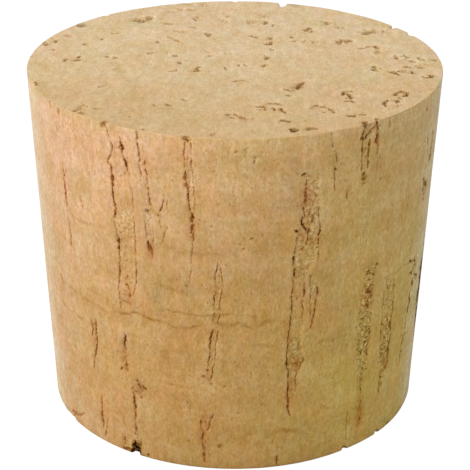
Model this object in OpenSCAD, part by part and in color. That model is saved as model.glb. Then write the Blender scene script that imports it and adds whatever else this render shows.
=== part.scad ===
// Tapered natural cork stopper, standing on its small end, centred on the Z axis.
// It is cut across the bark, so the bark's lenticels run from one end to the other:
// they show as crumbled channels and cracks down the side, and as pores in both end faces.

/* [Body] */
// Diameter of the wide end
wide_d = 44; // [40:0.5:56]
// Diameter of the small end
small_d = 40.5; // [34:0.5:48]
// Height from end face to end face
height = 38; // [26:1:60]
// Radius of the worn edge round both ends
edge_r = 0.5; // [0.2:0.1:1]

/* [Lenticels] */
// Depth of a channel's crumbled floor
channel_depth = 0.4; // [0.2:0.05:0.8]
// Width of a crack at its middle
crack_w = 0.5; // [0.3:0.05:0.8]
// Depth of a crack
crack_depth = 1.2; // [0.9:0.1:2]

/* [Pores] */
// Width of a pore at its middle
pore_w = 0.45; // [0.3:0.05:0.6]
// Depth of a pore
pore_depth = 0.8; // [0.3:0.1:1.5]
// Radius in which a curled pore bends
curl_r = 0.7; // [0.5:0.05:1]

/* [Damage] */
// Width of the bite that a lost crumb leaves in an edge
chip_w = 1.4; // [0.8:0.1:2.4]
// Depth of the bite, inwards and along the side
chip_depth = 0.7; // [0.6:0.1:1.2]
// Width of the black notch in the small end's edge
notch_w = 1.6; // [1:0.1:2.5]
// Height of the notch
notch_h = 1.6; // [1:0.1:3]
// Depth of the notch
notch_depth = 1.8; // [1.3:0.1:3]

/* [Hidden] */

wide_r = wide_d / 2;
small_r = small_d / 2;
// Angle between the side and the axis
slope = atan((wide_r - small_r) / height);
// How far each cut starts outside the face that it goes into
clear = 0.5;

// A spot on the side is [angle from the front, to the right; share of the height].
// Channels seen from the front: [width, spots down the middle]
FRONT_CHANNELS = [
    [2.4, [[-30.6, 0.94], [-30.4, 0.82], [-30.0, 0.68], [-30.2, 0.58], [-31.4, 0.48]]],
    [1.2, [[-32.4, 0.45], [-32.4, 0.36], [-32.6, 0.24]]],
    [1.3, [[-29.2, 0.25], [-28.8, 0.18], [-30.0, 0.08], [-30.6, 0.01]]],
    [1.2, [[-25.0, 1.04], [-24.0, 0.90], [-23.4, 0.76], [-22.9, 0.60]]],
    [0.9, [[-11.6, 1.04], [-11.4, 0.88], [-10.9, 0.74], [-11.2, 0.62]]],
    [1.3, [[-4.1, 0.66], [-4.2, 0.56], [-5.2, 0.44], [-6.0, 0.34], [-7.2, 0.27]]],
    [1.2, [[-7.6, 0.18], [-7.4, 0.10], [-7.8, 0.02]]],
    [2.2, [[20.4, 0.90], [20.8, 0.80], [21.2, 0.70], [21.4, 0.62]]],
    [1.8, [[17.6, 0.72], [17.4, 0.58], [17.0, 0.42], [17.2, 0.28], [16.6, 0.16]]],
    [1.0, [[22.4, 0.57], [22.4, 0.50], [22.0, 0.40]]],
    [2.0, [[37.0, 1.04], [37.0, 0.94], [36.6, 0.84], [36.2, 0.80]]],
    [2.2, [[40.6, 0.58], [41.0, 0.44], [40.6, 0.30], [41.6, 0.16], [41.8, 0.04]]],
    [1.9, [[50.6, 0.52], [50.8, 0.40], [51.4, 0.28], [50.8, 0.18], [49.8, 0.11]]],
    [1.8, [[66.0, 0.52], [65.0, 0.42], [63.6, 0.30], [62.0, 0.16]]],
    [1.6, [[67.4, 0.88], [68.4, 0.78], [67.8, 0.66]]],
    [0.9, [[-52.8, 0.85], [-52.4, 0.72], [-51.8, 0.57]]]
];

// Cracks seen from the front, each as its spots
FRONT_CRACKS = [
    [[-35.0, 1.03], [-33.6, 0.95], [-32.8, 0.92], [-33.6, 0.88]],
    [[-33.6, 0.89], [-33.5, 0.84], [-34.0, 0.80], [-33.0, 0.76], [-33.6, 0.72]],
    [[-33.2, 0.69], [-32.8, 0.64], [-32.7, 0.58], [-33.4, 0.53], [-33.0, 0.47]],
    [[-28.2, 0.87], [-27.2, 0.80], [-27.4, 0.71], [-27.2, 0.63]],
    [[-27.3, 0.62], [-27.8, 0.55], [-29.0, 0.50]],
    [[-30.4, 0.97], [-29.6, 0.94], [-28.8, 0.89]],
    [[-32.6, 0.39], [-32.3, 0.36], [-32.5, 0.34]],
    [[-26.2, 1.03], [-25.3, 0.95], [-24.7, 0.87]],
    [[-24.0, 1.03], [-23.2, 0.90], [-22.4, 0.80]],
    [[-23.4, 0.79], [-22.8, 0.72], [-22.2, 0.63]],
    [[-18.2, 0.83], [-19.4, 0.79], [-19.8, 0.75]],
    [[-12.0, 1.03], [-12.5, 0.93], [-12.1, 0.84], [-11.4, 0.79]],
    [[-11.0, 1.03], [-10.6, 0.92], [-10.3, 0.80]],
    [[-11.3, 0.79], [-11.0, 0.73], [-11.2, 0.65]],
    [[-4.3, 0.65], [-4.9, 0.58], [-5.5, 0.50], [-6.4, 0.42]],
    [[-6.3, 0.43], [-6.8, 0.36], [-7.6, 0.31]],
    [[-3.8, 0.64], [-2.9, 0.57], [-4.0, 0.48], [-5.0, 0.37]],
    [[-5.2, 0.36], [-6.2, 0.31], [-7.0, 0.27]],
    [[-9.1, 0.17], [-8.7, 0.10], [-8.2, 0.02]],
    [[-43.2, 0.40], [-43.3, 0.31], [-44.6, 0.26], [-45.8, 0.22]],
    [[-42.6, 0.16], [-43.2, 0.10], [-43.3, 0.04]],
    [[-53.0, 0.84], [-52.7, 0.76], [-52.4, 0.70]],
    [[-52.3, 0.67], [-51.9, 0.63], [-51.8, 0.58]],
    [[-30.3, 0.21], [-29.9, 0.14], [-30.4, 0.08]],
    [[17.4, 0.885], [18.2, 0.89], [18.9, 0.885]],
    [[18.2, 0.88], [18.3, 0.80], [18.0, 0.75]],
    [[18.4, 0.77], [19.4, 0.72], [19.8, 0.69]],
    [[22.8, 0.80], [23.2, 0.72], [22.6, 0.63]],
    [[16.9, 0.73], [16.2, 0.66], [16.6, 0.60]],
    [[16.6, 0.61], [15.9, 0.49], [15.2, 0.42], [15.0, 0.33]],
    [[15.1, 0.34], [15.9, 0.27], [15.7, 0.22], [16.4, 0.16]],
    [[19.6, 0.44], [18.8, 0.38], [19.4, 0.33], [18.0, 0.25]],
    [[21.0, 0.60], [21.4, 0.53], [21.4, 0.47]],
    [[23.4, 0.56], [23.0, 0.51], [22.3, 0.42]],
    [[26.8, 0.93], [27.2, 0.90], [26.6, 0.83]],
    [[24.8, 1.03], [25.2, 0.98], [26.0, 0.94]],
    [[34.8, 1.03], [34.7, 0.95], [35.2, 0.89]],
    [[34.4, 0.96], [36.4, 0.965], [38.4, 0.98]],
    [[37.0, 0.96], [37.2, 0.90], [36.2, 0.83]],
    [[39.2, 1.03], [39.4, 0.95], [40.2, 0.88]],
    [[40.0, 0.87], [40.2, 0.84], [42.2, 0.82]],
    [[42.2, 0.50], [43.2, 0.42], [43.0, 0.33], [42.2, 0.27]],
    [[40.4, 0.24], [41.6, 0.18], [42.0, 0.10], [41.6, 0.04]],
    [[48.2, 0.50], [48.0, 0.38], [48.6, 0.25]],
    [[49.9, 0.20], [49.7, 0.16], [49.4, 0.12]],
    [[52.8, 0.48], [53.4, 0.36], [53.2, 0.24]],
    [[66.4, 0.48], [65.0, 0.42], [64.2, 0.32]],
    [[62.8, 0.30], [61.8, 0.24], [61.8, 0.17]],
    [[66.6, 0.74], [68.4, 0.71], [68.2, 0.67]],
    [[74.2, 0.44], [75.0, 0.36], [74.6, 0.24]],
    [[35.6, 0.10], [36.4, 0.05], [36.2, 0.01]]
];

// Channels of the far side, each with a crack along both borders: [width, spots]
FAR_CHANNELS = [
    [2.2, [[103, 0.88], [104, 0.70], [103, 0.52], [105, 0.30]]],
    [1.6, [[133, 0.50], [132, 0.34], [134, 0.20], [133, 0.06]]],
    [1.6, [[152, 1.04], [151, 0.88], [153, 0.70], [152, 0.56]]],
    [2.4, [[176, 0.72], [177, 0.56], [175, 0.40], [176, 0.22]]],
    [1.4, [[-164, 0.94], [-163, 0.82], [-165, 0.64]]],
    [2.0, [[-141, 0.54], [-142, 0.36], [-140, 0.22], [-141, 0.08]]],
    [1.8, [[-119, 1.04], [-117, 0.84], [-119, 0.62], [-118, 0.42]]],
    [1.4, [[-88, 0.50], [-89, 0.34], [-87, 0.16]]]
];

// Straight pores of an end face: [x, y, length, turn]. The place is a share of its radius.
SLITS = [
    [-0.46, 0.67, 1.6, 130], [-0.34, 0.60, 1.0, 20], [-0.21, 0.69, 1.0, 60], [0.17, 0.62, 1.6, 110],
    [0.48, 0.62, 1.0, 10], [0.38, 0.52, 1.6, 50], [0.28, 0.40, 1.0, 80], [0.55, 0.33, 1.5, 10],
    [0.70, 0.48, 2.2, 170], [0.88, 0.08, 1.0, 60], [0.92, -0.01, 1.0, 110], [0.83, -0.06, 0.9, 20],
    [0.92, -0.19, 1.1, 60], [0.28, -0.34, 2.4, 50], [0.25, -0.44, 1.0, 80], [0.67, -0.08, 1.2, 75],
    [0.20, -0.56, 1.0, 160], [0.22, -0.78, 1.0, 150], [0.06, -0.75, 1.2, 170], [0.27, -0.89, 1.2, 40],
    [0.34, -0.87, 1.0, 10], [0.54, -0.71, 1.3, 30], [-0.29, -0.13, 0.9, 60], [-0.18, -0.11, 1.0, 70],
    [0.17, 0.30, 1.0, 70], [0.18, 0.37, 0.9, 90], [-0.30, 0.33, 1.4, 120], [-0.78, 0.56, 1.2, 10],
    [-0.90, 0.30, 1.0, 110], [-0.76, 0.04, 1.0, 80], [-0.26, 0.85, 1.4, 160], [-0.62, -0.35, 0.9, 60]
];

// Curled pores of an end face: [x, y, start, sweep]
CURLS = [
    [0.77, -0.43, -60, 250], [0.70, -0.55, 20, 170], [0.52, -0.46, 20, 150], [0.37, -0.64, -20, 130],
    [0.12, -0.63, -60, 200], [0.67, 0.22, 0, 170], [0.81, 0.07, 90, 200], [0.16, 0.07, -30, 160],
    [0.33, 0.30, 20, 140], [0.04, -0.05, 150, 120], [-0.68, -0.64, 10, 150], [-0.27, 0.09, 60, 130]
];

// Angles from the front at which crumbs are lost from the wide edge and from the small edge
WIDE_CHIPS = [-165, -108, -42, 72, 122, 152, 165];
SMALL_CHIPS = [-148, -95, -26, 12.5, 36.5, 50, 160];

// Angle of the notch
NOTCH_ANGLE = -30.8;

// Radius of the side at a share of the height
function side_r(share) = small_r + (wide_r - small_r) * share;

// Unit vector across a path at one of its inner points
function across(path, i) =
    let (along = path[i + 1] - path[i - 1])
    [along[1], -along[0]] / norm(along);

// Outline of a stroke along a path, this wide inside and pointed at both ends
function stroke(path, width) =
    let (last = len(path) - 1)
    concat([path[0]],
           [for (i = [1 : last - 1]) path[i] + across(path, i) * width / 2],
           [path[last]],
           [for (i = [last - 1 : -1 : 1]) path[i] - across(path, i) * width / 2]);

// A spot on the side, in mm from the middle spot, with the side laid flat
function flat_spot(spot, middle) = [
    (spot[0] - middle[0]) * PI / 180 * side_r(middle[1]),
    (spot[1] - middle[1]) * height / cos(slope)
];

// A path moved sideways, in degrees, and drawn in towards its middle spot by a share
function beside(path, shift, share) =
    let (middle = (path[0] + path[len(path) - 1]) / 2)
    [for (spot = path) [spot[0] + shift, middle[1] + (spot[1] - middle[1]) * share]];

// Cut into the side along spots
module side_cut(spots, width, depth) {
    middle = (spots[0] + spots[len(spots) - 1]) / 2;
    translate([0, 0, height * middle[1]])
        rotate([0, 0, middle[0]])
            translate([0, -side_r(middle[1]), 0])
                rotate([90 + slope, 0, 0])
                    translate([0, 0, -depth])
                        linear_extrude(depth + clear)
                            polygon(stroke([for (s = spots) flat_spot(s, middle)], width));
}

module front_lenticels() {
    for (c = FRONT_CHANNELS) side_cut(c[1], c[0], channel_depth);
    for (c = FRONT_CRACKS) side_cut(c, crack_w, crack_depth);
}

module far_lenticels() {
    for (c = FAR_CHANNELS) {
        border = c[0] / 2 / side_r(0.5) * 180 / PI;
        side_cut(c[1], c[0], channel_depth);
        side_cut(beside(c[1], border, 0.7), crack_w, crack_depth);
        side_cut(beside(c[1], -border, 0.85), crack_w, crack_depth);
    }
}

// Pore cut into the face Z = 0 along a path
module pore(path) {
    translate([0, 0, -pore_depth])
        linear_extrude(pore_depth + clear)
            polygon(stroke(path, pore_w));
}

// The pores of one end face of this radius, cut into the face Z = 0
module pores(face_r) {
    for (p = SLITS)
        translate([p[0] * face_r, p[1] * face_r, 0])
            rotate(p[3])
                pore([[-p[2] / 2, 0], [0, pore_w / 4], [p[2] / 2, 0]]);
    for (p = CURLS)
        translate([p[0] * face_r, p[1] * face_r, 0])
            pore([for (k = [0 : 5]) curl_r * [cos(p[2] + p[3] * k / 5), sin(p[2] + p[3] * k / 5)]]);
}

// Bites into the edge of the face Z = 0, at this radius
module chips(angles, rim_r) {
    for (angle = angles)
        rotate([0, 0, angle])
            translate([0, -rim_r, -chip_depth])
                linear_extrude(chip_depth + clear)
                    polygon([[-chip_w / 2, -clear], [-chip_w / 4, chip_depth],
                             [chip_w / 3, chip_depth / 2], [chip_w / 2, -clear]]);
}

// Black notch where a channel leaves the small end, pointed at its top
module notch() {
    rotate([0, 0, NOTCH_ANGLE])
        translate([0, -small_r - clear, 0])
            rotate([-90, 0, 0])
                linear_extrude(notch_depth + clear)
                    polygon([[-notch_w / 2, clear], [-notch_w / 2, 0], [0, -notch_h],
                             [notch_w / 2, 0], [notch_w / 2, clear]]);
}

// Half section: the tapered side, with a round worn edge at each end
module half_section() {
    low = edge_r * (1 - sin(slope));
    high = edge_r * (1 + sin(slope));
    low_centre = small_r - low / cos(slope);
    high_centre = wide_r - high / cos(slope);
    polygon([[0, 0], [low_centre, 0], [side_r(low / height), low],
             [side_r(1 - high / height), height - high], [high_centre, height], [0, height]]);
    translate([low_centre, edge_r]) circle(edge_r, $fn = 32);
    translate([high_centre, height - edge_r]) circle(edge_r, $fn = 32);
}

module cork_stopper() {
    color("burlywood")
        difference() {
            rotate_extrude($fn = 180) half_section();
            front_lenticels();
            far_lenticels();
            translate([0, 0, height]) pores(wide_r);
            rotate([180, 0, 0]) pores(small_r);
            translate([0, 0, height]) chips(WIDE_CHIPS, wide_r);
            mirror([0, 0, 1]) chips(SMALL_CHIPS, small_r);
            notch();
        }
}

cork_stopper();
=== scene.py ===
"""Looks of the cork stopper: a tapered plug of natural cork whose lenticels run down its side as
crumbly channels with cracked borders, and open on both ends as small curled pores."""
import math

import bpy
import numpy as np
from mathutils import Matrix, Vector


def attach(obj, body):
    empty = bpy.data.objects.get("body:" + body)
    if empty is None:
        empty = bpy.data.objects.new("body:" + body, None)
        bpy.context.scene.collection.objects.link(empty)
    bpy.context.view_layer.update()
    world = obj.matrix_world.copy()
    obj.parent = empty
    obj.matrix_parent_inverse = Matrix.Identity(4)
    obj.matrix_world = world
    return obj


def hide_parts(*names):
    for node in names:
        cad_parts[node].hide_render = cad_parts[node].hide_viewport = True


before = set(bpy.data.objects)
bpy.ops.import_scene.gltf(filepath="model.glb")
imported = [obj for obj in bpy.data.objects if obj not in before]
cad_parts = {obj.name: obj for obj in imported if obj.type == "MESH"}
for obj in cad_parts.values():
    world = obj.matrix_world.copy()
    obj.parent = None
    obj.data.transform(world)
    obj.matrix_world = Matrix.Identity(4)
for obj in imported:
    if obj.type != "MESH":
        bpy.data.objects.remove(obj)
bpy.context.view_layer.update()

# ---- Sizes, in millimetres --------------------------------------------------------------------

MM = 0.001
WIDE_R = 22.03
SMALL_R = 20.22
HEIGHT = 38.0
EDGE_R = 0.06
LOW_EDGE_R = 0.22
MEAN_R = (WIDE_R + SMALL_R) / 2
LATTICE_CELLS = 40       # the noise repeats after this many cells
TRIANGLES = 190000
CAMERA_RISE = 24.58      # degrees above the level
CAMERA_ROLL = 0.3        # degrees
CAMERA_FAR = 0.188       # metres from the middle of the stopper
MIDDLE = (0, 0, 0.019)   # metres

# ---- Marks of the side ------------------------------------------------------------------------
# A spot on the side is (angle from the front in degrees, to the right; height in mm).

# Lenticels: left border, right border, depth of the floor, and how crumbly the floor is, as one
# number or as heights with a number each.
LENTICELS = [
    ([(-33.2, 33.4), (-33.6, 30), (-32.9, 27), (-32.7, 23), (-33.2, 18.2)], [(-28.3, 33.4),
     (-27.4, 30), (-27.2, 25.5), (-27.6, 21.5), (-30.2, 18.2)], .20, [(18, .5), (21, .45),
     (24, .3), (25.4, .6), (29, .6), (30, .25), (34, .25)]),
    ([(-33.4, 38), (-32.6, 35.4), (-33.2, 33.2)], [(-31.2, 38), (-30.6, 35.4),
     (-29.8, 33.2)], .12, .35),
    ([(-33, 17.4), (-33.3, 15.5)], [(-31.2, 17.4), (-31, 15.5)], .12, .6),
    ([(-33.4, 14.6), (-33.6, 10)], [(-31.4, 14.6), (-31.2, 10)], .15, .9),
    ([(-29.6, 9.6), (-29.2, 7.4)], [(-26, 9.6), (-27, 7.4)], .15, .9),
    ([(-25.9, 38), (-25, 35), (-24.5, 32.4), (-24, 29), (-23.7, 24)], [(-24, 38), (-23, 34),
     (-22.4, 31), (-22, 29), (-21.8, 24)], .12, .5),
    ([(-12, 38), (-12.6, 35.6), (-12.1, 32), (-11.3, 29.6)], [(-10.9, 38), (-10.5, 34),
     (-10.1, 31), (-10.6, 29.6)], .14, .55),
    ([(-4.3, 24.8), (-4.9, 21), (-5.7, 17.6), (-6.4, 14.4), (-7.9, 10.6)], [(-3.7, 24.8),
     (-2.7, 22), (-4.2, 18), (-5, 14.4), (-6.3, 10.2)], .18, .6),
    ([(-9.1, 6.6), (-8.8, 3.4), (-8.6, 1)], [(-5.8, 6.6), (-7, 4.6), (-7.3, 1)], .14, .45),
    ([(17.6, 33.8), (18.1, 30), (17.9, 28.4), (16.6, 27.6), (15.9, 24), (16.1, 20.5),
     (15.1, 15.5), (15, 12.6), (15.8, 9.5), (16, 6.4)], [(22.4, 33.8), (23.3, 30), (23.2, 26.6),
     (22.2, 24), (20.2, 22.4), (19.6, 19), (19.6, 15.5), (20, 12.6), (18.1, 9.5),
     (16.6, 6.4)], .24, [(6, .4), (10.5, .5), (12, .9), (15, .9), (16, .4), (22, .5), (23.4, .7),
     (34, .9)]),
    ([(21, 22.4), (21.3, 19.6), (21.7, 16)], [(23.4, 22.4), (23.8, 20.4), (22.4, 16)], .12, .5),
    ([(26.3, 35.6), (26.3, 33.4)], [(27.6, 35.6), (27.4, 33.4)], .1, .4),
    ([(34.4, 38), (34.5, 35), (35, 31.4)], [(38.2, 38), (37.6, 35), (36.6, 31.4)], .3, .36),
    ([(38.9, 38), (39, 36), (40, 33)], [(40.6, 38), (40.9, 36), (41.4, 33)], .16, .5),
    ([(38.6, 22), (38.2, 18.5), (37.2, 15), (38, 11.5), (39.4, 8), (40.4, 4.4), (40.4, 2)],
     [(43.6, 22), (42.8, 18.5), (43.4, 15), (43, 11.5), (42.2, 8), (42.2, 4.4),
     (42.2, 2)], .22, [(2, .1), (7, .2), (9, .8), (16, .95), (20, .9), (22, .6)]),
    ([(48.2, 19.6), (47.8, 14)], [(52.8, 19.6), (53.3, 14)], .18, .5),
    ([(47.8, 14.4), (47.9, 11), (49, 7), (49.2, 4.6)], [(53.3, 14.4), (53.4, 11), (52.8, 8),
     (50, 4.6)], .2, .8),
    ([(64.6, 19.5), (64, 15.5), (62.6, 11), (61, 6.6)], [(69, 19.5), (66, 15.5), (64, 11),
     (62, 6.6)], .2, .8),
    ([(75.4, 20.4), (74.6, 15), (75.6, 7)], [(81.4, 20.4), (83.6, 15), (82, 7)], .1, .6),
    ([(66.4, 28), (66.8, 25.4)], [(69.4, 28), (69, 25.4)], .2, .6),
    ([(-53.2, 31.8), (-52.9, 27), (-52, 22.2)], [(-52.3, 31.8), (-51.9, 27),
     (-51.3, 22.2)], .1, .2),
    ([(-45.4, 15.2), (-44.6, 11.5), (-45.8, 8.8)], [(-42.8, 15.2), (-42.9, 11.5),
     (-45.2, 8.8)], .1, .3),
]

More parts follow.
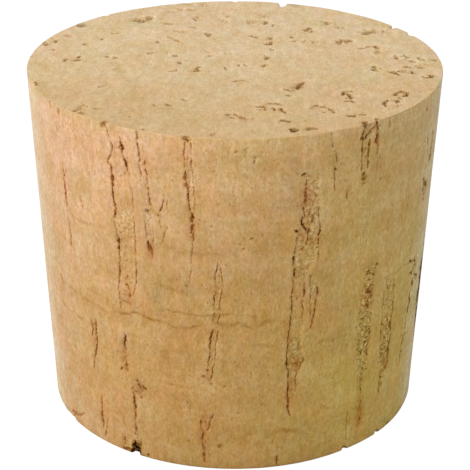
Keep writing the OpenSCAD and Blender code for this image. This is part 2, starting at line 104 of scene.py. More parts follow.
# Cracks: path, width and depth in mm, and how dark, from 0 to 1.
CRACKS = [
    # the wide lenticel left of the middle, its left border
    ([(-35, 37.8)], .7, .3, 1.3), ([(-52.8, 37.7), (-53, 37)], .34, .2, .5),
    ([(-57.2, 37.7), (-57, 37.2)], .3, .2, .4),
    ([(-34.6, 38), (-33.5, 36.3), (-32.7, 35.3), (-33.4, 34.6)], .28, .3, .65),
    ([(-33.3, 34.8), (-34.8, 34.2), (-34.2, 33.6)], .24, .25, .55),
    ([(-33.4, 33.8), (-33.3, 32.4), (-33.6, 31)], .35, .6, 1.1),
    ([(-33.7, 31), (-33.5, 30.1), (-32.9, 29.1)], .33, .6, 1.1),
    ([(-32.8, 29.3), (-33, 28.6), (-33.6, 27.9)], .36, .45, 1.1),
    ([(-33.7, 27.6), (-33.2, 26.6), (-32.9, 25.8)], .22, .25, .5),
    ([(-32.6, 25.9), (-32.5, 24.9), (-32.7, 24.1), (-32.6, 23.2)], .3, .5, .9),
    ([(-32.7, 23.2), (-32.5, 22), (-33.1, 20.8), (-33.5, 19.9)], .26, .35, .65),
    ([(-33.5, 19.8), (-33, 18.4), (-33.4, 17.6)], .2, .2, .4),
    # its right border and its inner crack
    ([(-28.2, 33.4), (-27.2, 30.8), (-27.5, 29)], .2, .2, .4),
    ([(-27.5, 29), (-27.1, 25.6), (-27.1, 24)], .22, .25, .5),
    ([(-27.1, 24), (-27.7, 21.2), (-28.8, 19.5)], .22, .25, .5),
    ([(-30.5, 37.2), (-30, 36.4), (-30.4, 35.6)], .24, .25, .5),
    ([(-29.9, 36.4), (-29.6, 35.5)], .6, .5, 1.5), ([(-29.6, 35.4), (-29.1, 34.4)], .24, .3, .7),
    ([(-29, 34.5), (-28.8, 33.9)], .46, .45, 1.4), ([(-28.8, 33.8), (-28.4, 33.4)], .24, .3, .6),
    ([(-32.2, 36), (-31.9, 34.2), (-31.7, 33)], .18, .15, .35),
    ([(-28.6, 33.4), (-29.8, 32.8), (-31.5, 32.6)], .2, .15, .35), ([(-30.2, 21.5)], .46, .3, .8),
    ([(-30.6, 23.4), (-29.9, 23.5)], .3, .15, .4),
    ([(-30.9, 20.5), (-30.4, 20.7), (-29.9, 19.9), (-29.7, 19.2)], .34, .25, .8),
    # the same lenticel further down, to the notch
    ([(-32.3, 14.6), (-32.4, 13.1)], .8, .4, .85), ([(-32.4, 11.6), (-32.2, 10.2)], .8, .25, .5),
    ([(-33.7, 10.5), (-34.2, 10.2)], .5, .3, .6), ([(-28.9, 9.4), (-28.3, 8.8)], .5, .3, 1),
    ([(-27.2, 8.9), (-26, 8.6)], .45, .3, 1), ([(-28.4, 7.6), (-27.6, 7.4)], .4, .3, .8),
    ([(-29.4, 8)], .3, .3, .6), ([(-27.4, 8.3)], .36, .2, .6),
    ([(-30.5, 8.6), (-30, 7.4)], .34, .15, .5),
    ([(-30, 7.6), (-30, 6), (-29.9, 4.9)], .36, .35, .95),
    ([(-30.3, 5), (-30.2, 3.4), (-30.5, 2)], .26, .25, .45),
    ([(-29.8, 4.4), (-29.7, 2)], .2, .2, .35), ([(-34.4, 1.8), (-34.6, .6)], .5, .3, .4),
    ([(-35.3, 1.9), (-35.2, .4)], .24, .25, .5), ([(-26.4, .5)], .4, .1, 1.1),
    ([(-34.8, .3), (-33.4, .4), (-32, .4)], .5, .1, 1.2),
    # the strip right of it
    ([(-25.4, 38), (-25.2, 36.6), (-24.8, 35)], .28, .3, .75),
    ([(-24.8, 35), (-24.6, 32.6)], .2, .2, .4), ([(-23.8, 37), (-23.6, 35.4)], .18, .2, .35),
    ([(-23.5, 35), (-23.1, 33.4), (-22.8, 32)], .26, .3, .7),
    ([(-22.8, 32.2), (-22.3, 30.1)], .26, .3, .65), ([(-23.1, 29.5)], .44, .35, .75),
    ([(-22.3, 30), (-22.4, 28.9)], .22, .2, .45), ([(-23.9, 29), (-23.8, 26.4)], .18, .15, .35),
    ([(-21.9, 28), (-21.8, 25)], .18, .15, .3), ([(-23.3, 26.2), (-23.1, 25)], .42, .3, .75),
    ([(-22.5, 26), (-22.4, 24.4)], .42, .25, .55),
    ([(-18.2, 31.6), (-18.7, 30.3), (-19.6, 29.5)], .24, .25, .55), ([(-19.8, 29.3)], .36, .3, .85),
    ([(-19.8, 29), (-19.4, 27.8)], .18, .15, .3),
    ([(-17.4, 28.3), (-18.6, 27), (-19.8, 26)], .2, .15, .22),
    ([(-17.6, 31), (-17.2, 30)], .18, .15, .35),
    # the narrow lenticel near the middle, which reaches the edge
    ([(-12, 38), (-12.6, 36.4), (-12.4, 34.6)], .26, .2, .45),
    ([(-12.5, 34.2), (-12.2, 33.2), (-11.9, 32.4)], .6, .3, .46),
    ([(-11.9, 32.6), (-11.9, 31.4), (-11.4, 29.8)], .38, .35, .6),
    ([(-11.1, 29.9), (-10.9, 28.9), (-11, 27.7)], .66, .4, .56),
    ([(-10.5, 28.8), (-10.4, 27.6), (-10.7, 26.8)], .4, .3, .5),
    ([(-12.4, 37.9), (-11.6, 37.5)], .7, .3, .6),
    ([(-10.9, 26.6), (-11.2, 24.4), (-11.5, 22)], .22, .15, .4),
    ([(-11, 38), (-10.6, 35.4), (-10.3, 33)], .24, .2, .4),
    ([(-10.3, 33), (-10.2, 31.4), (-10.6, 29.8)], .22, .25, .45),
    # the leaning one below the middle
    ([(-4.2, 24.7), (-4.8, 23.2), (-4.9, 21.2)], .24, .25, .42),
    ([(-4.9, 21.2), (-5.3, 19.6), (-5.7, 17.8)], .24, .25, .42),
    ([(-5.7, 17.1), (-6.4, 16), (-6.4, 14.6)], .44, .3, .56),
    ([(-6.4, 14.6), (-6.7, 13.4)], .26, .25, .5),
    ([(-6.4, 14.2), (-6.9, 13), (-7.4, 12.2)], .24, .25, .5), ([(-7.4, 12.2)], .4, .35, .8),
    ([(-8.5, 11.4)], .44, .35, .85), ([(-3.9, 24.4), (-3.2, 23.2), (-2.8, 22)], .22, .25, .38),
    ([(-2.8, 22), (-3.6, 20), (-4.3, 17.4)], .22, .25, .4),
    ([(-4.3, 17.4), (-4.9, 15.2), (-5.3, 13)], .24, .25, .42),
    ([(-5.3, 13), (-6, 11.6), (-6.8, 10.4)], .24, .25, .55), ([(-6.4, 10.4)], .36, .3, .6),
    ([(-9.2, 6.4), (-9.4, 5.4), (-8.7, 4.4), (-8.9, 3.2)], .66, .25, .46),
    ([(-8.9, 3.2), (-8.4, 1.8), (-8, .8)], .6, .25, .4),
    ([(-5.8, 6.8), (-6.6, 5.8), (-7.5, 4.8)], .46, .25, .42),
    ([(-9, 6.8), (-8, 6.3), (-7.7, 5.4)], .24, .2, .5), ([(-7.2, 2.6), (-6.8, 1.4)], .26, .2, .5),
    ([(-6.5, 6.4)], .3, .2, .4), ([(-3.9, 2.9)], .7, .2, .35), ([(-3.5, 2.6)], .36, .25, .5),
    ([(-7, 2)], .34, .25, .5),
    # two narrow ones far left, and the small ones under them
    ([(-53, 31.8), (-52.8, 30.2), (-52.8, 28.4)], .22, .25, .5),
    ([(-52.9, 29.2), (-52.5, 27)], .36, .35, .85), ([(-52.4, 25.8), (-51.9, 24.2)], .26, .25, .55),
    ([(-51.9, 24.2), (-51.8, 22.3)], .24, .25, .5), ([(-45.9, 29), (-45, 27.5)], .34, .15, .35),
    ([(-55, 35.7), (-54.6, 34.9)], .2, .12, .4), ([(-54, 35.8), (-53.6, 35)], .2, .12, .45),
    ([(-52.9, 35.8), (-52.5, 35.2)], .2, .12, .4), ([(-54.8, 35.6), (-52.4, 35.6)], .16, .1, .3),
    ([(-43.2, 15), (-43.1, 13.4), (-43.2, 11.8)], .56, .3, .75),
    ([(-43.2, 12.2), (-44.4, 10.4)], .44, .25, .65), ([(-44.4, 10.6), (-45.8, 8.8)], .36, .2, .5),
    ([(-45, 15), (-44.5, 13.9), (-45.2, 13)], .26, .2, .7),
    ([(-42.7, 6), (-43.2, 3.8)], .3, .25, .45), ([(-43.2, 4.2), (-43.3, 1.8)], .5, .35, .7),
    ([(-41, 3), (-41.6, 1.8), (-42.5, .5)], .36, .2, .35),
    ([(-51.5, 2.2), (-55.5, 1.4), (-59.5, .6)], .42, .15, .42),
    ([(-57.4, 1.3), (-60.6, .9)], .6, .2, .7),
    # the big lenticel right of the middle
    ([(17.5, 33.75), (18.4, 33.8)], .56, .4, .9), ([(18.5, 33.2), (18.7, 31.9)], .26, .25, .55),
    ([(18.4, 31.9), (18.9, 30.4)], .46, .3, .6), ([(18.4, 30.2), (18.3, 29.2)], .3, .35, .9),
    ([(17.7, 29.1), (18, 28.4)], .5, .55, 1.1),
    ([(18, 28.5), (18.6, 28.1), (19.2, 27.7)], .34, .45, 1),
    ([(19.8, 27.8), (19.8, 27.2)], .46, .5, 1), ([(19.8, 27.2), (19.7, 26)], .26, .35, .75),
    ([(16.4, 27.8), (16.8, 27.7)], .42, .3, 1), ([(16.7, 27), (16.6, 26.4)], .34, .3, .8),
    ([(16.6, 26.4), (16.2, 25.2)], .2, .25, .5), ([(16, 25), (16.1, 24.2)], .42, .45, 1),
    ([(16.1, 24.2), (16.5, 23.6)], .22, .3, .7), ([(16.4, 23.6), (16.5, 22.8)], .4, .45, .95),
    ([(16.8, 22.7), (17.4, 22.7)], .24, .2, .5),
    ([(16.3, 22.7), (16.1, 21), (16, 18.4)], .24, .35, .6),
    ([(15.8, 18.4), (15.4, 16.6), (15.1, 15)], .28, .35, .7),
    ([(15.1, 15.2), (15, 13.4), (15.3, 12)], .32, .45, .85),
    ([(15.3, 12), (16, 10.6)], .26, .35, .7),
    ([(16, 10.6), (15.7, 9), (15.9, 7.4), (16.4, 6.3)], .3, .35, .7),
    ([(22.6, 30), (22.7, 29)], .24, .25, .6), ([(22.9, 28.8), (23.1, 27.4)], .24, .3, .6),
    ([(23.1, 27.4), (23, 26.9)], .38, .35, 1), ([(23, 26.6), (22.9, 25.9)], .3, .3, .7),
    ([(22.9, 25.6), (22.2, 25.5)], .26, .25, .6), ([(22.9, 25.2), (22.9, 24.2)], .26, .3, .6),
    ([(21, 29.4), (21.2, 28.6)], .34, .3, .8), ([(20.2, 30), (19.8, 29.2)], .24, .25, .5),
    ([(21.4, 29.6), (21.9, 28.6)], .24, .25, .6), ([(21.2, 31.2), (22.3, 31.4)], .22, .2, .45),
    ([(20.4, 32.4), (21.3, 33)], .22, .2, .4), ([(20.7, 26.8), (21.5, 26.2)], .22, .2, .5),
    ([(18.2, 25.6)], .34, .25, .6), ([(17.6, 23.6), (18.5, 23.2)], .2, .2, .4),
    ([(19.4, 21.7), (19.3, 20.2)], .28, .35, .7),
    ([(19.2, 19.8), (19.2, 18.2), (18.3, 17.7)], .24, .3, .6),
    ([(18.9, 15.4), (18.6, 14)], .26, .25, .5),
    ([(19.6, 13.6), (20, 12.8), (18.9, 11.8)], .28, .3, .6),
    ([(18.2, 11.4), (17.8, 9.2)], .24, .25, .55), ([(16.8, 14.4), (17.2, 13)], .2, .2, .35),
    ([(21, 22.6), (21.3, 20), (21.5, 17.8)], .22, .25, .34),
    ([(23.2, 21.1), (23.5, 20.2)], .4, .3, .65),
    ([(23.4, 20), (22.6, 18), (22, 16.4)], .36, .3, .5),
    # small ones between it and the next
    ([(25, 38), (25.4, 36.8), (25.8, 36)], .24, .25, .36),
    ([(26.8, 35.4), (27.2, 34.6)], .22, .25, .45), ([(26.7, 33.9)], .42, .35, .65),
    ([(26.7, 33.6), (26.7, 31.6)], .26, .3, .3), ([(30.8, 31.2), (30.7, 30.4)], .34, .25, .5),
    ([(28.4, 34.3)], .3, .2, .45),
    # the forked one at the wide edge
    ([(34.4, 38.1), (34.8, 37.2), (34.3, 36.4)], .42, .5, .95),
    ([(35.6, 38.1), (35.2, 37.2)], .34, .45, .9),
    ([(34, 36.6), (35.4, 36.4), (36.8, 36.8), (38.6, 37.4)], .6, .5, 1.05),
    ([(34.8, 36.4), (34.6, 35.2), (34.9, 34)], .3, .35, .75),
    ([(35, 34), (34.9, 33)], .24, .25, .5), ([(35.9, 35.3)], .34, .25, .5),
    ([(37.3, 36.2), (37.2, 35.2), (37, 34.2)], .32, .4, .85),
    ([(37, 34.2), (36.9, 33.2)], .24, .3, .6), ([(36.1, 32.6), (36.3, 31.7)], .9, .4, .6),
    ([(38.8, 38.1), (39.1, 37.3)], .5, .5, .85), ([(39.3, 37.8), (39.5, 36.8)], .4, .35, .7),
    ([(39.3, 36.9), (39.9, 35.6)], .7, .35, .72),
    ([(40.2, 35.8), (40.2, 35.2), (40.1, 34.2)], .36, .3, .5),
    ([(40.4, 33.6), (40.8, 32.5)], .8, .15, .2), ([(42.3, 31.4)], .34, .2, .35),
    ([(43.6, 37.6), (43.8, 36.8)], .26, .25, .5), ([(62, 36.9), (62.6, 36.5)], .44, .3, .7),
    ([(33.2, 27.8), (33.2, 26.8)], .2, .15, .3), ([(38.2, 25.1), (38.2, 24.1)], .2, .2, .4),
    # the speckled one right of the big one
    ([(43.4, 21.7)], .4, .35, .62), ([(42.4, 20.9)], .3, .2, .45), ([(40.4, 21.3)], .34, .3, .6),
    ([(39, 20.7)], .3, .25, .5), ([(38.6, 21.7)], .28, .2, .4),
    ([(40.4, 18.8), (42, 18.4)], .5, .4, .45), ([(38.9, 18.3)], .34, .25, .5),
    ([(40.6, 17.3), (41.8, 17)], .46, .35, .45), ([(39.3, 15.6)], .3, .25, .6),
    ([(37.3, 15)], .3, .25, .6), ([(43, 15.2)], .3, .25, .6), ([(43.1, 13.7)], .4, .35, .85),
    ([(41.2, 12.7)], .4, .35, .9), ([(42.9, 12.9)], .32, .25, .6), ([(37.3, 13.6)], .34, .3, .65),
    ([(38.6, 12.3)], .34, .3, .65), ([(40.2, 11.6)], .38, .35, .8),
    ([(42.4, 11.8), (42.6, 11)], .34, .35, .8), ([(41, 10.1), (41, 9.3)], .26, .3, .6),
    ([(42.5, 9.4)], .3, .25, .55), ([(39.3, 8.9), (39.4, 7.7)], .24, .25, .5),
    ([(40.6, 8.7), (41, 7.5), (41.4, 6.2)], .26, .3, .6),
    ([(41.3, 5.6), (41.1, 4.6)], .26, .25, .5), ([(41.8, 3.8), (41, 2.4)], .4, .3, .55),
    ([(37.5, 4), (37.4, 3.2)], .26, .2, .4), ([(36.3, 5), (36.4, 2.4), (36.3, .6)], .2, .2, .4),
    # the next, with two straight borders
    ([(48.8, 19.6), (48.3, 18.4)], .26, .25, .5), ([(48, 18.4), (47.8, 15.6)], .2, .25, .45),
    ([(47.8, 15.6), (48, 13.4), (47.9, 11.2)], .22, .3, .55),
    ([(47.9, 11.2), (48, 8.6)], .2, .25, .4), ([(52.7, 18.8), (53, 17)], .2, .25, .5),
    ([(53, 17), (53.3, 15)], .28, .35, .75), ([(53.3, 15), (52.5, 13.5), (53.4, 12)], .28, .3, .65),
    ([(53.4, 12), (52.8, 10.2), (53, 9.4)], .32, .35, .75),
    ([(52.9, 9.4), (52.4, 7.8)], .36, .3, .6), ([(51, 12.7)], .36, .3, .7),
    ([(50.1, 12.3)], .34, .25, .6), ([(48.6, 10.9), (50.6, 10.5), (52.5, 10.2)], .22, .25, .45),
    ([(50.6, 14.6), (51, 13.8)], .24, .2, .4), ([(51.6, 8.6)], .34, .25, .5),
    ([(49.8, 7.4), (49.6, 6)], .22, .25, .5), ([(49.6, 6), (49.3, 4.7)], .3, .35, .75),
    # the far right
    ([(61, 19.6), (63.4, 19.2)], .4, .3, .9), ([(64.4, 19.2), (66.8, 18.7)], .46, .35, 1),
    ([(62.6, 18), (64.4, 17.6), (66.4, 18.3)], .42, .3, .8),
    ([(65.8, 17.3), (67.4, 17)], .4, .2, .8), ([(67.6, 16.8), (69.6, 16.3)], .6, .35, 1.2),
    ([(64.6, 16.6), (66, 16.1)], .6, .3, .75),
    ([(64.4, 15.8), (64.3, 14), (63.9, 12.9)], .5, .35, 1), ([(63.6, 12.8), (63, 11)], .4, .3, .8),
    ([(62, 10.2), (61.7, 8.4)], .46, .3, .9), ([(61.7, 8.4), (61.4, 6.6)], .36, .25, .7),
    ([(66.2, 28.3), (67.6, 27.7), (69.8, 27)], .7, .4, .85),
    ([(65.6, 27.2), (67.4, 26.8)], .5, .3, .6), ([(67.4, 26.4), (68.4, 25.8)], .56, .3, .8),
    ([(66, 33.2), (66.3, 32.3)], .56, .25, .5), ([(63, 33.4), (63.6, 32.8)], .4, .2, .35),
    ([(70.6, 33.2), (71.6, 32), (71, 31)], .6, .3, .65), ([(70.8, 31), (70.4, 29.4)], .44, .3, .55),
    ([(69.4, 30.5), (71.2, 29.9)], .56, .3, .6), ([(66.6, 30.4), (66.8, 29.4)], .4, .2, .35),
    ([(76.8, 14.8), (76.6, 13.4), (77, 12)], .7, .3, 1),
    # painted shade over the lenticel's own dark brown: a wide, shallow mark along the right outline painted near
    # black, for the shaded inside of a channel seen edge-on
    ([(79.4, 16.6), (78.7, 14.6), (78.5, 12.6), (79, 9.8)], 3.2, .14, 2),
    ([(79.4, 19.4), (78.6, 16.6)], 1, .6, .8), ([(78.6, 9.6), (79.4, 7.2)], 1.1, .6, .8),
    ([(76, 31), (76.4, 29.6)], .6, .4, .6),
    # little pits and marks
    ([(.2, 36.6)], .34, .25, .5), ([(3.2, 36.9), (2.6, 36)], .34, .2, .46),
    ([(3.7, 35.8)], .3, .2, .3), ([(5.3, 36.1), (4.8, 35.4)], .34, .25, .46),
    ([(-13, 21.7)], .3, .2, .4), ([(4.7, 27.3)], .36, .25, .6), ([(2.7, 26.2)], .3, .2, .4),
    ([(-6, 28.5)], .3, .2, .4), ([(.1, 34), (.1, 30)], .14, .1, .25), ([(1.7, 7)], .3, .2, .4),
    ([(-2.4, 10.3)], .3, .2, .4), ([(-13.5, 8)], .3, .2, .4), ([(-13.2, 3.3)], .3, .2, .4),
    ([(.4, 20.6), (.5, 20.2)], .26, .2, .45), ([(13, 1.4), (13.4, .2)], .34, .1, 1),
    ([(36.2, .4)], .6, .3, 1), ([(50.6, .3)], .6, .3, 1), ([(56.8, .3)], .5, .1, .8),
    ([(-64, .3), (-58, .2)], .5, .3, .2),
]

# Soft stains: place, half width and half height in mm, and how strong.
RUST = [
    (10, 31, 2.6, 6, .2), (8, 22, 2, 3, .1), (9.6, 34.7, 2, .6, .24), (41.2, 18.8, .5, .9, .3),
    (42.8, 12.6, .25, 1.6, .35), (41, 8.4, .25, 1.4, .35), (52.9, 9.6, .3, 1.2, .6),
    (49.5, 6, .25, 1.2, .45), (63.9, 13.4, .25, 1.2, .4), (39.6, 35.4, .5, 1.6, .25),
    (35.4, 34.6, .6, 1.6, .35), (-52.8, 30, .25, 2, .55), (-52.2, 25, .3, 2.4, .5),
    (-44.2, 12.4, .4, 2.6, .55), (-43.4, 3, .35, 2, .5), (-10.7, 24.6, .25, 2, .3),
    (-12.1, 36, .5, 1.8, .35), (-33.2, 21.4, .3, 2.2, .45), (-32.6, 12.4, .5, 2.4, .4),
    (-30.2, 5.4, .35, 3, .45), (-28.4, 8.4, .8, 1, .35), (-8.4, 4.6, .5, 2.6, .6),
    (-7.6, 5.8, .9, .8, .35), (-6.8, 11.4, .7, 1, .4), (-6, 15.6, .4, 2, .35),
    (15.6, 13.6, .35, 3, .45), (16.2, 22.6, .3, 2.4, .35), (18.4, 28.6, .7, 1.2, .4),
    (23, 27, .3, 1.8, .45), (19.4, 19.4, .4, 2, .4), (-23.2, 33.6, .25, 2, .35),
    (-30.2, 19.4, .45, 1.1, .7), (-22.8, 25, .55, 1.2, 1), (-10.9, 28.4, .6, 1.8, .7),
    (-12.1, 33.3, .4, .9, .6), (40.6, 33, .8, 1.1, .45), (39.8, 36, .5, .8, .7),
    (18.8, 31.4, .6, 1.6, .9), (-30, 29.8, .4, .8, .4), (-43.6, 12, .6, 2.6, .5),
    (16.3, 10, .4, 1, .9), (18.4, 12.4, .45, 1, 1), (67.6, 27, 1, 1.2, .5),
    (-30.7, 29.7, .35, .6, .5), (-43.2, 13.5, .3, .7, .6), (-12.2, 33.6, .25, .8, .5),
    (19, 31, .45, .8, .6), (18.2, 12.3, .5, .9, .9), (16.4, 10, .35, .7, .7),
    (16.1, 8, .4, 1.4, .7), (23.5, 20.4, .3, .6, .9), (22.3, 17, .3, 1.2, .5),
    (30.8, 31, .3, .5, .7), (38.9, 37.6, .4, .5, .5), (40.2, 35.2, .3, 1.1, .3),
    (40.8, 33, .5, .7, .6), (41.2, 18.4, .7, .5, .5), (41.2, 17.1, .7, .4, .5),
    (41.2, 4.2, .6, 2.3, 1), (52.6, 8.4, .4, .8, .8), (61.7, 8.8, .3, .9, .6),
    (66, 16, .4, .4, .25), (-7.5, 1.2, .4, .4, .5), (-3.8, 2.8, .4, .4, .6), (5, 36.2, .4, .4, .4),
    (37.4, 36.8, .6, .4, .3), (-52.7, 28, .25, 1.4, .4), (-33, 25, .3, 1, .3), (68, 27, .7, .7, .5),
    (35.6, 37.4, .5, .5, .3), (-43.2, 3.4, .3, 1.2, .4), (75, 29, .5, 2, .4),
    (70.8, 31.2, .5, 1.6, .6),
]
GREY = [
    (-21.4, 20, .8, 1.2, .5), (-20.6, 18.8, .4, .6, .4), (-23.2, 29.4, .4, .5, .5),
    (-23.2, 27.2, .4, .6, .4), (-23.6, 32.4, .5, 1.6, .3), (-30.5, 33, .7, .5, .3),
    (-12.6, 21.4, .5, .8, .35), (27.2, 34.4, .5, 1.2, .35), (43.6, 20.2, .8, .9, .3),
    (35.6, 37, .7, .6, .5), (18.2, 14, .6, .8, .4), (36.8, 12.4, .8, 1.6, .25),
    (-33, 13.6, .5, 1, .3), (67.5, 27.2, 1, 1, .4), (-18, 35, 1, 1.5, .2),
    (-19.4, 13.4, .8, .8, .3), (15.5, 33, 1.2, 3, .22), (33, 14.5, 2.4, 1.6, .25),
    (40, 13.4, 1.4, 3, .25), (50.6, 12, 1.2, 2.6, .25), (-27.8, 8.4, .8, .9, .3),
]

# Growth rings round the side: the gap from one pale ring to the next, the height of the lowest,
# how far they climb from the left flank to the right, in mm, and how much paler they are.
RING_GAP = 4.4
RING_FIRST = 2.0
RING_CLIMB = 1.0
RING_PALER = 0.045

# Smudges: place, half width and half height in mm, and how much paler or darker. The third of the wide end is
# painted shade: a dark streak where a chipped facet at its back edge lies in shadow.
SIDE_PATCHES = [(40.8, 33, 1, 1.2, -.12), (41, 7.4, .6, 1.5, -.18)]
WIDE_PATCHES = [
    # the third, at the back of the wide edge, is painted shade for a chipped facet
    (-10.9, 14.3, 1, .8, -.28), (6.1, -7.6, 1, 1, -.19), (6.8, 20.55, .8, .32, -.45),
    (-17.4, 12.5, 1, .7, -.25),
]

# Growth lines that cross the side: path, width in mm, and how strong.
BANDS = [
    ([(-36, 17), (-32, 17), (-29, 17.4), (-26, 17.5), (-22, 17.3), (-18, 17.2), (-15, 17),
     (-12, 17), (-8, 17.5)], .5, .9), ([(-6, 17.7), (-2, 17.6), (2, 17.4), (6, 17.3)], .6, .9),
    ([(6, 17.3), (9, 18), (12, 18), (15, 17.6)], .8, .7),
    ([(-22, 18.4), (-18, 18.8), (-12, 18.6), (-5, 18.5), (4, 18.8), (7, 18.6)], .5, .7),
    ([(5.5, 19.4), (6, 18), (5.4, 17.4)], .7, .7),
    ([(-60, 16.8), (-57, 17.3), (-52, 17.1), (-47, 17), (-40, 16.8), (-36, 16.9)], .6, .45),
    ([(-66, 19), (-62, 19.3), (-58, 18.6)], .7, .6), ([(-60, 18), (-59, 16.8)], .9, .6),
    ([(-47, 18.5), (-44, 18.3), (-40, 18.4), (-36, 18.2)], .5, .35),
    ([(-32.8, 18.5), (-29, 18.4)], .4, .8),
    ([(-62, 14.8), (-56, 14.2), (-52, 14.4), (-48, 14.5)], .6, .7),
    ([(-56, 10.2), (-53, 10.2)], .6, .5), ([(-66, 12), (-62, 12.4)], .7, .5),
    ([(-20, 10.2), (-14, 9.9), (-10, 10.2)], .5, .5), ([(-4, 10.4), (0, 10.3)], .5, .5),
    ([(1, 10), (4, 9.9), (7, 9.9)], .6, .5), ([(-30, 14.8), (-26, 14.6), (-24, 14.2)], .5, .5),
    ([(-24, 21.2), (-18, 21.4), (-12, 21)], .8, .4), ([(4, 15.2), (8, 15.2), (12, 15)], .5, .5),
    ([(44, 19.9), (48, 19.7), (52, 19.6), (56, 19.7), (60, 19.5), (64, 19.2), (67, 19)], .6, .45),
    ([(60, 10.6), (66, 10.2)], .6, .5), ([(24, 14.6), (30, 14.6), (34, 15.6)], .7, .4),
    ([(26, 6.4), (32, 6.2)], .6, .5), ([(9, 4.2), (14, 4.6), (20, 4.2)], .9, .5),
    ([(-52, 26.4), (-44, 26.2), (-36, 26.6)], .7, .35),
    ([(-20, 26), (-14, 25.4), (-6, 25.6), (0, 25.2)], .7, .35),
]

# Far side: width in mm and spots down the middle of each lenticel, each height as a share.
FAR_LENTICELS = [
    (2.2, [(103, .88), (104, .70), (103, .52), (105, .30)]),
    (1.6, [(133, .50), (132, .34), (134, .20), (133, .06)]),
    (1.6, [(152, .96), (151, .88), (153, .70), (152, .56)]),
    (2.4, [(176, .72), (177, .56), (175, .40), (176, .22)]),
    (1.4, [(-164, .94), (-163, .82), (-165, .64)]),
    (2.0, [(-141, .54), (-142, .36), (-140, .22), (-141, .08)]),
    (1.8, [(-119, .95), (-117, .84), (-119, .62), (-118, .42)]),
    (1.4, [(-88, .50), (-89, .34), (-87, .16)]),
]

# ---- Marks of the ends ------------------------------------------------------------------------
# A spot on an end is (x to the right, y away from the front), in mm.

